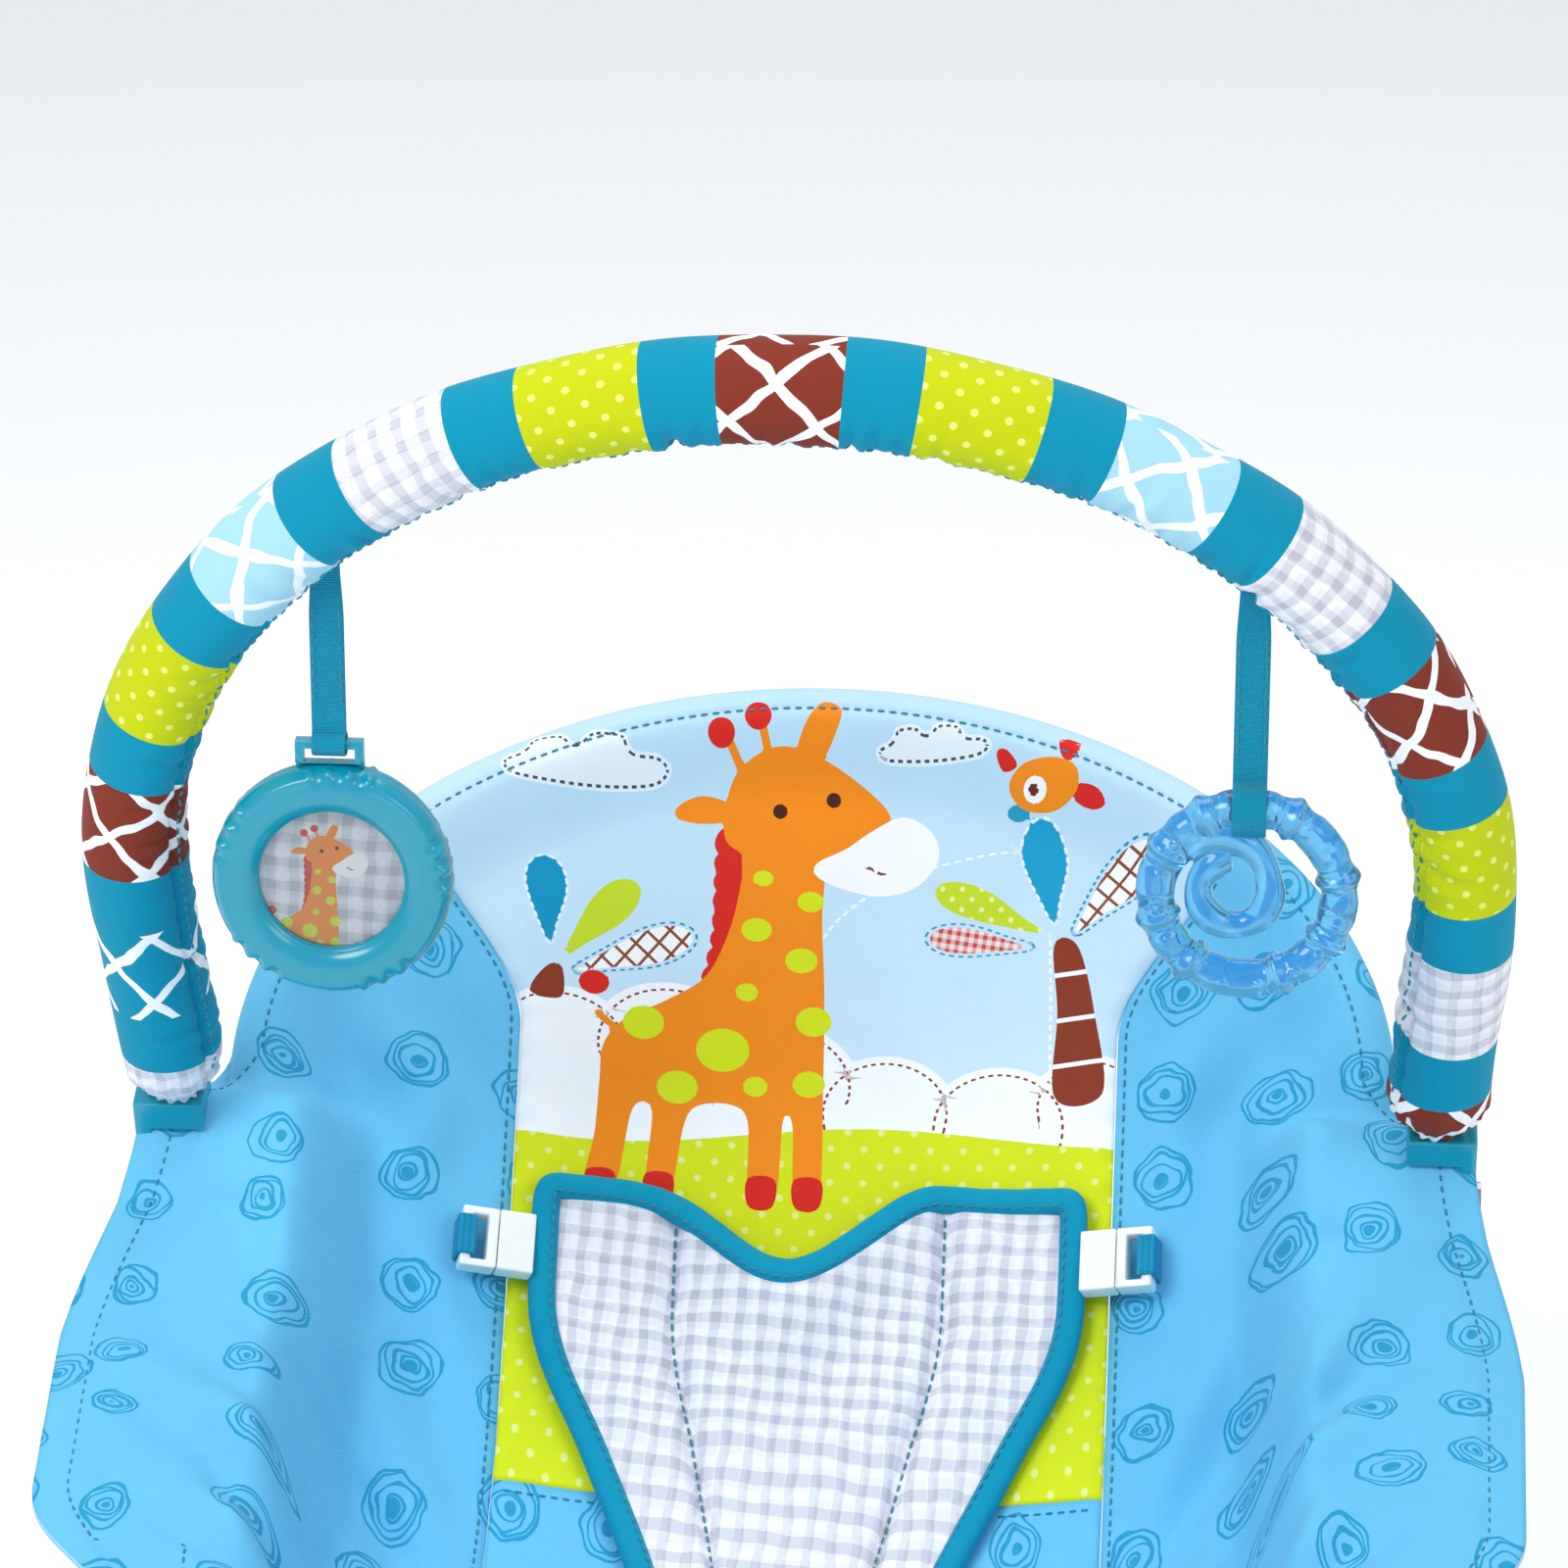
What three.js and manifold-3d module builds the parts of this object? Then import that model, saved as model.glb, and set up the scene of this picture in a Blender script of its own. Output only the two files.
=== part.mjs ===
// Baby bouncer seat: a bent steel floor frame, a fabric seat slung in a steel hoop, a padded toy bar with
// two hanging toys, a waist restraint with side-release buckles and a vibration unit under the foot end.
// Millimetres. +X is right as seen from the foot end, -Y is the foot end, +Y the head end, +Z is up.
// The origin is on the floor, at the middle of the object's box.
import * as THREE from "three";
import { mergeVertices } from "three/addons/utils/BufferGeometryUtils.js";
import Module from "manifold-3d";

const wasm = await Module();
wasm.setup();

const rad = THREE.MathUtils.degToRad;
const at = (x, y, z) => new THREE.Vector3(x, y, z);

// ---------------------------------------------------------------- driving dimensions

// Clearances
const gap = 0.4; // between parts that touch
const slipFit = 0.6; // tube in its socket, on the radius

// Steel tube, floor frame and risers
const tubeRadius = 8;
const tubeWall = 1.2;
const frontReach = 270; // front bends ahead of the middle
const frontBendRadius = 45;
const rearCornerRadius = 60;
const floorClearance = 3; // underside of the tube above the floor
const riserBendRadius = 35;
const riserCornerHeight = 96; // where the upright and the sloping stretch would meet
const sideStep = 25; // from the seat hoop's side out to the riser

// Couplers that join floor frame and risers
const couplerSlip = 2.1; // the faceted tube turns freely in its coupler
const couplerWall = 2.7;
const couplerTop = 74;
const couplerBottom = 51;
const tubeEndGap = 7; // between the two tube ends inside a coupler
const stubLength = 1; // straight end above the front bend

// Rubber feet
const footLength = 42;
const footWall = 4.6;
const footSpread = 180; // foot centre from the middle, along the rails

// Seat hoop
const recline = rad(42);
const hubHeight = 236;
const hubSetback = 50;
const seatHalfWidth = 205;
const headLength = 190; // from the hub up to the head end
const headCurve = 150; // length of the half ellipse at the head end
const belowHub = 80; // straight stretch of the back below the hub
const seatBendRadius = 120;
const footRise = rad(2);
const footStretch = 168; // from the bend to the foot end
const footCurve = 130; // length of the half ellipse at the foot end

// Fabric
const hemSlip = 2.3; // hem round the faceted hoop tube
const hemWall = 1.8;
const hemStop = 36; // the hem ends this far from the hub
const panelSlip = 4.4; // between the hems and the panels
const panelThickness = 3;
const bucketDepth = 65;
const bucketShape = 2.6; // exponent of the cross section
const bucketSlump = 1.2; // above 1 the deepest place moves to the foot end
const seamHalfWidth = 113; // between the wings
const seamHead = 60; // the wing seams leave the hoop here, from the head end
const seamSquare = 150; // and run straight from here
const seamFootStart = 400;
const seamFoot = 470;
const wingTip = 18; // least distance of the wings' pointed ends from the seam's ends
const panelSplit = 288; // back panel above, seat panel below
const rowPitch = 16;

// Waist restraint
const restraintTop = 203;
const restraintLow = 440;
const restraintHalfWidth = 98;
const restraintWaist = 46;
const restraintThickness = 6;
const restraintLift = 1.5;
const restraintShoulder = 20; // it narrows from this far under its top edge

// Buckles and belts
const buckleOffset = 119; // from the middle, along X
const buckleRow = 206;
const buckleWidth = 24;
const buckleLength = 14; // of each half
const buckleThickness = 8;
const buckleLift = 10.2;
const tongueLength = 9;
const tongueWidth = 15;
const tongueThickness = 3.4;
const beltWidth = 16;
const beltThickness = 1.6;
const slotLength = 18;
const slotWidth = 6;

// Hubs
const hubRadius = 20;
const hubWall = 2.8; // beside the tubes
const hubTubeStop = 7; // hoop tube ends from the hub's centre
const riserStop = 9.5;
const pinRadius = 3.5;
const pinBore = 3.9;
const pinHeadRadius = 6.5;
const pinHeadHeight = 2.2;
const screwRadius = 1.6;
const screwBore = 2.1;
const screwHeadRadius = 3;
const screwHeadHeight = 1.6;
const hubScrewCircle = 14;
const hubScrewAngle = rad(120);

// Toy bar
const lugThickness = 6;
const lugRadius = 13;
const clipWidth = 22;
const clipInner = 25; // from the pivot to the near side of the clip's block
const clipOuter = 37;
const clipFloor = 3; // under the core in the clip
const clipWall = 3.9; // beside the core
const barCoreRadius = 6;
const barLean = rad(18); // the bar leans to the foot end at rest
const barLeg = 147; // legs above the pivot
const barSpread = 6; // the legs spread by this much between clip and arch
const barRise = 213; // half ellipse above the legs
const paddingSlip = 1.6; // foam round the faceted core
const paddingRadius = 16.6;
const coverWall = 1.8;
const barSides = 8;
const barSteps = 30;

// Hanging toys
const toyAngle = rad(43); // place of the straps round the half ellipse
const strapWidth = 12;
const strapThickness = 2.4;
const strapDrop = 8; // the strap starts this far under the cover
const strapSkin = 1.2; // of one layer of the ribbon
const mirrorRadius = 42.5;
const mirrorHang = 114; // from the cover to the toy's middle
const windowRadius = 25.5;
const mirrorHalfDepth = 8.5;
const rimCrown = 5.5; // from the rim's cylinder to the toy's face
const rimRound = 3;
const faceRing = 8.5; // from the window to the crown of the front
const windowSlope = 3; // width of the slope round the window
const lensLip = 3.5; // the lens and the card reach this far under the front
const lensSeat = 3.4; // depth of the pocket that holds them
const lensThickness = 1.4;
const cardThickness = 0.8;
const backFloor = 3;
const loopBar = 3; // bar of the strap bracket
const loopDepth = 4.6;
const loopWindow = 5;
const loopHalfWidth = 12;
const teetherHang = 111;
const teetherRadius = 32;
const teetherTube = 8;
const teetherInnerRadius = 13.5;
const teetherInnerTube = 6;
const teetherInnerShift = 7.5;

// Vibration unit
const unitHalfWidth = 48;
const unitHalfDepth = 22;
const unitHalfHeight = 28;
const unitWall = 2;
const unitSetback = 14; // its middle behind the foot tube
const unitDrop = 60; // its middle under the foot tube
const clampSlip = 1.2; // over the hem
const clampWall = 2.6;
const clampWidth = 34;
const neckDepth = 12;
const batteryRadius = 13;
const batteryLength = 50;
const doorMargin = 18; // the door ends this far inside the case
const doorHigh = 17.3; // its hinge edge, over the unit's middle
const doorLow = -20;
const doorSwing = 2.2; // room over its hinge edge
const doorThickness = 1.7;
const bossRadius = 4.4;
const bossInset = 6.5; // from the case's sides to the screws
const bossStop = 0.5; // the bosses end this far inside the faces
const cellDrop = 4; // the battery's middle under the unit's middle
const springWire = 4; // radius of the spring's small end
const motorRadius = 8;
const motorLength = 24;
const motorStart = -4;
const motorLift = 16;
const motorAhead = 8; // the motor's axis ahead of the unit's middle
const motorMouth = 8; // depth of the shaft's bore in the motor
const shaftRadius = 1;
const shaftSlip = 0.3;
const shaftReach = 12; // out of the motor
const weightRadius = 6.5;
const weightLength = 8;
const weightStart = 3; // from the motor
const knobPlace = 20; // the switch's middle inside the case's side
const knobLift = 12;
const knobTravel = 3; // each way
const knobStem = 3; // half widths of its stem and cap
const knobCap = 6;
const knobSlip = 1;
const knobStand = 2.6; // its cap stands this far out of the case
const boardInset = 4; // from the case's side to the circuit board
const boardLength = 30;
const boardHeight = 24;
const boardThickness = 1.6;
const boardAhead = 13;

// ---------------------------------------------------------------- derived places

const tubeBore = tubeRadius - tubeWall;
const frameHalfWidth = seatHalfWidth + sideStep;
const railHeight = floorClearance + tubeRadius;
const couplerBore = tubeRadius + couplerSlip;
const couplerRadius = couplerBore + couplerWall;
const hemBore = tubeRadius + hemSlip;
const hemRadius = hemBore + hemWall;
const panelMargin = hemRadius + panelSlip;
const rearReach = frontReach + couplerRadius - tubeRadius;
const pivotHeight = railHeight + frontBendRadius + tubeEndGap / 2 + stubLength;
const bendStart = headLength + belowHub;
const bendEnd = bendStart + seatBendRadius * (recline + footRise);
const hoopLength = bendEnd + footStretch;
const hubWidth = 2 * (tubeRadius + slipFit + hubWall);
const hubInnerFace = seatHalfWidth - hubWidth / 2;
const hubSplit = hubInnerFace + hubWidth;
const hubOuterFace = hubSplit + gap + hubWidth;
const lugFace = hubOuterFace + gap;
const barHalfWidth = frameHalfWidth + 1;
const archHalfWidth = barHalfWidth + barSpread;
const coverBore = paddingRadius + slipFit;
const coverRadius = coverBore + coverWall;
const paddingBore = barCoreRadius + paddingSlip;
const sides = [
  { name: "left", sign: -1 },
  { name: "right", sign: 1 },
];

// ---------------------------------------------------------------- solids

// A closed mesh as a manifold-3d solid.
function solid(geometry) {
  const plain = geometry.clone();
  plain.deleteAttribute("normal");
  plain.deleteAttribute("uv");
  const merged = mergeVertices(plain, 1e-3);
  return new wasm.Manifold(
    new wasm.Mesh({
      numProp: 3,
      vertProperties: merged.attributes.position.array,
      triVerts: new Uint32Array(merged.index.array),
    }),
  );
}

// The geometry of a manifold-3d solid.
function geometryOf(body) {
  const mesh = body.getMesh();
  const geometry = new THREE.BufferGeometry();
  geometry.setAttribute("position", new THREE.BufferAttribute(mesh.vertProperties.slice(), 3));
  geometry.setIndex(new THREE.BufferAttribute(mesh.triVerts.slice(), 1));
  geometry.computeVertexNormals();
  return geometry;
}

// First geometry plus the added ones, less the cut ones.
function shaped(first, { plus = [], less = [] }) {
  let body = solid(first);
  for (const piece of plus) {
    body = body.add(solid(piece));
  }
  for (const piece of less) {
    body = body.subtract(solid(piece));
  }
  return geometryOf(body);
}

function block(x0, x1, y0, y1, z0, z1) {
  const geometry = new THREE.BoxGeometry(Math.abs(x1 - x0), y1 - y0, z1 - z0);
  return geometry.translate((x0 + x1) / 2, (y0 + y1) / 2, (z0 + z1) / 2);
}

// A round bar between two points.
function rod(from, to, radius, facets = 12) {
  const along = to.clone().sub(from);
  const geometry = new THREE.CylinderGeometry(radius, radius, along.length(), facets);
  const turn = new THREE.Quaternion().setFromUnitVectors(at(0, 1, 0), along.normalize());
  const middle = from.clone().add(to).multiplyScalar(0.5);
  return geometry.applyQuaternion(turn).translate(middle.x, middle.y, middle.z);
}

// A bar along X at a place in the YZ plane.
function crossRod(x0, x1, y, z, radius, facets = 12) {
  return rod(at(x0, y, z), at(x1, y, z), radius, facets);
}

// An outline drawn in the YZ plane, extruded along X.
function alongX(outline, x0, x1) {
  const geometry = new THREE.ExtrudeGeometry(outline, {
    depth: x1 - x0,
    bevelEnabled: false,
    curveSegments: 8,
  });
  const basis = new THREE.Matrix4().makeBasis(at(0, 1, 0), at(0, 0, 1), at(1, 0, 0));
  return geometry.applyMatrix4(basis).translate(x0, 0, 0);
}

function circleShape(radius, facets, bore = 0) {
  const ring = (r) =>
    Array.from({ length: facets }, (_, i) => {
      const turn = (2 * Math.PI * (i + 0.5)) / facets;
      return new THREE.Vector2(r * Math.cos(turn), r * Math.sin(turn));
    });
  const shape = new THREE.Shape(ring(radius));
  if (bore > 0) {
    shape.holes.push(new THREE.Path(ring(bore)));
  }
  return shape;
}

// A round or hollow bar swept along points that lie close together.
function tube(points, radius, steps, facets = 8, bore = 0) {
  return new THREE.ExtrudeGeometry(circleShape(radius, facets, bore), {
    extrudePath: new THREE.CatmullRomCurve3(points, false, "centripetal"),
    steps,
    bevelEnabled: false,
  });
}

// A polyline whose inner corners are rounded, with no stretch between points longer than the pitch.
function roundedLine(corners, radii, pitch = 12) {
  const line = [corners[0]];
  for (let i = 1; i < corners.length - 1; i++) {
    const before = corners[i - 1].clone().sub(corners[i]).normalize();
    const after = corners[i + 1].clone().sub(corners[i]).normalize();
    const half = before.angleTo(after) / 2;
    const radius = radii[i - 1];
    const setback = radius / Math.tan(half);
    const bisector = before.clone().add(after).normalize();
    const centre = corners[i].clone().addScaledVector(bisector, radius / Math.sin(half));
    const first = corners[i].clone().addScaledVector(before, setback).sub(centre);
    const last = corners[i].clone().addScaledVector(after, setback).sub(centre);
    const turn = first.angleTo(last);
    const count = Math.ceil((radius * turn) / pitch);
    for (let k = 0; k <= count; k++) {
      const share = k / count;
      const point = centre.clone();
      point.addScaledVector(first, Math.sin((1 - share) * turn) / Math.sin(turn));
      point.addScaledVector(last, Math.sin(share * turn) / Math.sin(turn));
      line.push(point);
    }
  }
  line.push(corners[corners.length - 1]);
  return line.flatMap((point, i) => {
    if (i === line.length - 1) {
      return [point];
    }
    const parts = Math.max(1, Math.round(point.distanceTo(line[i + 1]) / pitch));
    return Array.from({ length: parts }, (_, k) => point.clone().lerp(line[i + 1], k / parts));
  });
}

// ---------------------------------------------------------------- materials

function paint(color, roughness, metalness = 0) {
  return new THREE.MeshStandardMaterial({ color, roughness, metalness });
}
const steel = paint("#eceded", 0.35, 0.3);
const rubber = paint("#3c4347", 0.85);
const tealPlastic = paint("#14abb6", 0.25);
const whitePlastic = paint("#f4f4f0", 0.3);
const bareSteel = paint("#b9bcbf", 0.3, 1);
const wingFabric = paint("#7acbec", 0.8);
const skyFabric = paint("#b5e0f4", 0.75);
const plaidFabric = paint("#dfdfe6", 0.8);
const tealFabric = paint("#00a9c4", 0.8);
const foam = paint("#f3f1ea", 0.95);
const webbing = paint("#0da3c6", 0.7);
const clearPlastic = paint("#e8f4f8", 0.05);
const printedCard = paint("#d8d8de", 0.6);
const teetherPlastic = paint("#3fa9e0", 0.15);
const copperBoard = paint("#2f7a4a", 0.5);
const cellWrap = paint("#3a3a3f", 0.4, 0.4);

// ---------------------------------------------------------------- the model

const seatModel = new THREE.Group();

function add(name, geometry, material, parent = seatModel) {
  const mesh = new THREE.Mesh(geometry, material);
  mesh.name = name;
  parent.add(mesh);
  return mesh;
}

// ---------------------------------------------------------------- the seat's surface

// Side line of the hoop at a distance from its head end: its place, and the direction towards the sitter.
function sideLine(s) {
  const bend = THREE.MathUtils.clamp(s - bendStart, 0, bendEnd - bendStart);
  const slope = recline - bend / seatBendRadius;
  const back = Math.min(s, bendStart) - headLength;
  let y = hubSetback - back * Math.cos(recline);
  let z = hubHeight - back * Math.sin(recline);
  y -= seatBendRadius * (Math.sin(recline) - Math.sin(slope));
  z -= seatBendRadius * (Math.cos(slope) - Math.cos(recline));
  const foot = Math.max(0, s - bendEnd);
  y -= foot * Math.cos(footRise);
  z += foot * Math.sin(footRise);
  return { y, z, ny: -Math.sin(slope), nz: Math.cos(slope) };
}

// Half width of the hoop, less a margin, at a distance from the head end.
function hoopHalfWidth(s, margin = 0) {
  const wide = seatHalfWidth - margin;
  const footCurveStart = hoopLength - footCurve;
  const head = Math.max(0, headCurve - s) / (headCurve - margin);
  const foot = Math.max(0, s - footCurveStart) / (footCurve - margin);
  return wide * Math.sqrt(Math.max(0, 1 - head * head - foot * foot));
}

// A point of the slung fabric, raised from it towards the sitter by a lift.
function seatPoint(x, s, lift = 0) {
  const line = sideLine(s);
  const slump = bucketDepth * Math.sin(Math.PI * Math.pow(s / hoopLength, bucketSlump));
  const across = Math.min(1, Math.abs(x) / Math.max(1, hoopHalfWidth(s)));
  const depth = slump * (1 - Math.pow(across, bucketShape)) - lift;
  return at(x, line.y - line.ny * depth, line.z - line.nz * depth);
}

// Rows at whole pitches between two distances, with both ends.
function rowsBetween(start, end) {
  const rows = [start];
  for (let s = Math.ceil((start + 3) / rowPitch) * rowPitch; s < end - 3; s += rowPitch) {
    rows.push(s);
  }
  rows.push(end);
  return rows;
}

// Where the wing seams run, as a half width.
function seamAt(s) {
  const head = 1 - THREE.MathUtils.smoothstep(s, seamHead, seamSquare);
  const foot = THREE.MathUtils.smoothstep(s, seamFootStart, seamFoot);
  const edge = hoopHalfWidth(s, panelMargin);
  return seamHalfWidth + (edge - seamHalfWidth) * Math.max(head, foot);
}

// A layer of fabric between two edges, given as functions of the distance from the head end.
function fabricLayer(rows, edgeA, edgeB, columns, lift, thickness) {
  const points = [];
  for (const level of [lift, lift - thickness]) {
    for (const s of rows) {
      for (let j = 0; j <= columns; j++) {
        const x = THREE.MathUtils.lerp(edgeA(s), edgeB(s), j / columns);
        points.push(seatPoint(x, s, level));
      }
    }
  }
  const width = columns + 1;
  const under = rows.length * width;
  const index = [];
  const quad = (a, b, c, d) => index.push(a, b, c, a, c, d);
  for (let i = 0; i + 1 < rows.length; i++) {
    for (let j = 0; j < columns; j++) {
      const a = i * width + j;
      quad(a, a + width, a + width + 1, a + 1);
      quad(under + a, under + a + 1, under + a + width + 1, under + a + width);
    }
    const left = i * width;
    const right = left + columns;
    quad(left, under + left, under + left + width, left + width);
    quad(right, right + width, under + right + width, under + right);
  }
  const last = (rows.length - 1) * width;
  for (let j = 0; j < columns; j++) {
    quad(j, j + 1, under + j + 1, under + j);
    quad(last + j, under + last + j, under + last + j + 1, last + j + 1);
  }
  const geometry = new THREE.BufferGeometry().setFromPoints(points);
  geometry.setIndex(edgeB(rows[1]) > edgeA(rows[1]) ? index : index.reverse());
  geometry.computeVertexNormals();
  return geometry;
}

// ---------------------------------------------------------------- floor frame, feet and risers

function addFloorFrame() {
  const front = -frontReach;
  const path = [
    at(-frameHalfWidth, front, pivotHeight - tubeEndGap / 2),
    at(-frameHalfWidth, front, railHeight),
    at(-frameHalfWidth, rearReach, railHeight),
    at(frameHalfWidth, rearReach, railHeight),
    at(frameHalfWidth, front, railHeight),
    at(frameHalfWidth, front, pivotHeight - tubeEndGap / 2),
  ];
  const radii = [frontBendRadius, rearCornerRadius, rearCornerRadius, frontBendRadius];
  const line = roundedLine(path, radii);
  add("floor_frame", tube(line, tubeRadius, 68, 8, tubeBore), steel);
}

function addFeet() {
  const half = tubeRadius + slipFit + footWall;
  const top = railHeight + tubeRadius + slipFit + footWall / 2;
  for (const side of sides) {
    const x = side.sign * frameHalfWidth;
    for (const [place, y] of [["front", -footSpread], ["rear", footSpread]]) {
      const ends = [at(x, y - footLength, railHeight), at(x, y + footLength, railHeight)];
      const geometry = shaped(block(x - half, x + half, y - footLength / 2, y + footLength / 2, 0, top), {
        less: [rod(ends[0], ends[1], tubeRadius + slipFit)],
      });
      add(`foot_${place}_${side.name}`, geometry, rubber);
    }
  }
}

function addCouplers() {
  for (const side of sides) {
    const x = side.sign * frameHalfWidth;
    const bore = rod(at(x, -frontReach, couplerBottom - 5), at(x, -frontReach, couplerTop + 5), couplerBore);
    const body = rod(at(x, -frontReach, couplerBottom), at(x, -frontReach, couplerTop), couplerRadius);
    add(`frame_coupler_${side.name}`, shaped(body, { less: [bore] }), tealPlastic);
  }
}

// Direction of the riser's sloping stretch, from the hub down towards the front bend.
const riserSlope = Math.atan2(hubHeight - riserCornerHeight, hubSetback + frontReach);
const riserDown = at(0, -Math.cos(riserSlope), -Math.sin(riserSlope));

function addRisers() {
  for (const side of sides) {
    const x = side.sign * frameHalfWidth;
    const hub = at(x, hubSetback, hubHeight);
    const path = [
      at(x, -frontReach, pivotHeight + tubeEndGap / 2),
      at(x, -frontReach, riserCornerHeight),
      hub.addScaledVector(riserDown, riserStop),
    ];
    add(`riser_${side.name}`, tube(roundedLine(path, [riserBendRadius]), tubeRadius, 24, 8, tubeBore), steel);
  }
}

// ---------------------------------------------------------------- seat hoop and hems

// Centre line of the hoop between two distances from the head end, round the head or the foot.
function hoopLine(start, head) {
  const curve = head ? headCurve : footCurve;
  const turnPoint = head ? headCurve : hoopLength - footCurve;
  const sense = head ? -1 : 1;
  const inside = sense * (start - turnPoint);
  const pitches = Math.max(0, Math.ceil(-inside / rowPitch));
  const side = Array.from({ length: pitches }, (_, i) => [
    seatHalfWidth,
    THREE.MathUtils.lerp(start, turnPoint, i / pitches),
  ]);
  const firstTurn = Math.asin(Math.max(0, inside) / curve);
  const round = [];
  const facets = 36;
  for (let i = 0; i <= facets; i++) {
    const turn = firstTurn + ((Math.PI - 2 * firstTurn) * i) / facets;
    round.push([seatHalfWidth * Math.cos(turn), turnPoint + sense * curve * Math.sin(turn)]);
  }
  const back = side.map(([x, s]) => [-x, s]).reverse();
  return [...side, ...round, ...back].map(([x, s]) => {
    const line = sideLine(s);
    return at(x, line.y, line.z);
  });
}

function addHoop() {
  const upper = hoopLine(headLength - hubTubeStop, true);
  const lower = hoopLine(headLength + hubTubeStop, false);
  add("upper_hoop", tube(upper, tubeRadius, 30, 8, tubeBore), steel);
  add("lower_hoop", tube(lower, tubeRadius, 46, 8, tubeBore), steel);
  const headHem = hoopLine(headLength - hemStop, true);
  const footHem = hoopLine(headLength + hemStop, false);
  add("hem_head", tube(headHem, hemRadius, 26, 8, hemBore), wingFabric);
  add("hem_foot", tube(footHem, hemRadius, 42, 8, hemBore), wingFabric);
}

// ---------------------------------------------------------------- fabric panels

function addPanels() {
  const edge = (s) => hoopHalfWidth(s, panelMargin);
  const headEdge = panelMargin + 1.5;
  const footEdge = hoopLength - panelMargin - 1.5;
  const backRows = rowsBetween(headEdge, panelSplit);
  const seatRows = rowsBetween(panelSplit + gap, footEdge);
  const leftSeam = (s) => -seamAt(s);
  add("back_panel", fabricLayer(backRows, leftSeam, seamAt, 6, 0, panelThickness), skyFabric);
  add("seat_panel", fabricLayer(seatRows, leftSeam, seamAt, 6, 0, panelThickness), wingFabric);
  const wingStart = Math.ceil((seamHead + wingTip) / rowPitch) * rowPitch;
  const wingEnd = Math.floor((seamFoot - wingTip) / rowPitch) * rowPitch;
  const wingRows = rowsBetween(wingStart, wingEnd);
  for (const side of sides) {
    const inner = (s) => side.sign * (seamAt(s) + gap);
    const outer = (s) => side.sign * edge(s);
    add(`wing_${side.name}`, fabricLayer(wingRows, inner, outer, 3, 0, panelThickness), wingFabric);
  }
}

// The padded waist restraint lies on the panels, wide at the hips and narrow between the legs.
function addRestraint() {
  const lift = restraintLift + restraintThickness;
  const length = restraintLow - restraintTop;
  const half = (s) => {
    const share = THREE.MathUtils.smoothstep(s, restraintTop + restraintShoulder, restraintTop + 0.6 * length);
    return THREE.MathUtils.lerp(restraintHalfWidth, restraintWaist, share);
  };
  const rows = rowsBetween(restraintTop, restraintLow);
  const pad = fabricLayer(rows, (s) => -half(s), half, 6, lift, restraintThickness);
  add("crotch_panel", pad, plaidFabric);
}

// ---------------------------------------------------------------- buckles

// A group on the fabric beside the restraint: its X points outwards, its Y to the head, its Z to the sitter.
function buckleGroup(side) {
  const middle = seatPoint(side.sign * buckleOffset, buckleRow);
  const outer = seatPoint(side.sign * (buckleOffset + buckleLength), buckleRow);
  const inner = seatPoint(side.sign * (buckleOffset - buckleLength), buckleRow);
  const outwards = outer.sub(inner).normalize();
  const headwards = at(0, Math.cos(recline), Math.sin(recline));
  const up = outwards.clone().cross(headwards).normalize().multiplyScalar(side.sign);
  const across = up.clone().cross(outwards);
  const group = new THREE.Group();
  group.applyMatrix4(new THREE.Matrix4().makeBasis(outwards, across, up));
  group.position.copy(middle.addScaledVector(up, buckleLift));
  seatModel.add(group);
  return group;
}

function addBuckles() {
  const wide = buckleWidth / 2;
  const thick = buckleThickness / 2;
  const mouth = tongueWidth / 2 + slipFit;
  const mouthThick = tongueThickness / 2 + slipFit;
  for (const side of sides) {
    const group = buckleGroup(side);
    const socket = block(-tongueLength - 1, 1, -mouth, mouth, -mouthThick, mouthThick);
    const female = shaped(block(-buckleLength, -gap / 2, -wide, wide, -thick, thick), { less: [socket] });
    add(`female_buckle_${side.name}`, female, whitePlastic, group);
    const slotStart = (buckleLength - slotWidth) / 2;
    const slot = block(slotStart, slotStart + slotWidth, -slotLength / 2, slotLength / 2, -thick - 1, thick + 1);
    const tongueHalf = tongueThickness / 2;
    const tongue = block(-tongueLength, 1, -tongueWidth / 2, tongueWidth / 2, -tongueHalf, tongueHalf);
    const frame = block(gap / 2, buckleLength, -wide, wide, -thick, thick);
    add(`male_buckle_${side.name}`, shaped(frame, { plus: [tongue], less: [slot] }), whitePlastic, group);
    addBelt(side, group, slotStart + slotWidth, thick);
  }
}

// The belt passes through the slot and round the outer bar, and goes down to the fabric.
function addBelt(side, group, barStart, thick) {
  const barEnd = buckleLength;
  const near = gap;
  const far = gap + beltThickness;
  const halfWidth = beltWidth / 2;
  const outerBox = block(barStart - far, barEnd + far, -halfWidth, halfWidth, -thick - far, thick + far);
  const innerBox = block(
    barStart - near, barEnd + near, -halfWidth - 1, halfWidth + 1, -thick - near, thick + near,
  );
  add(`waist_belt_${side.name}`, shaped(outerBox, { less: [innerBox] }), webbing, group);
}

// ---------------------------------------------------------------- hubs

function hubScrewPlaces() {
  return [hubScrewAngle, hubScrewAngle + Math.PI].map((turn) => ({
    y: hubSetback + hubScrewCircle * Math.cos(turn),
    z: hubHeight + hubScrewCircle * Math.sin(turn),
  }));
}

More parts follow.
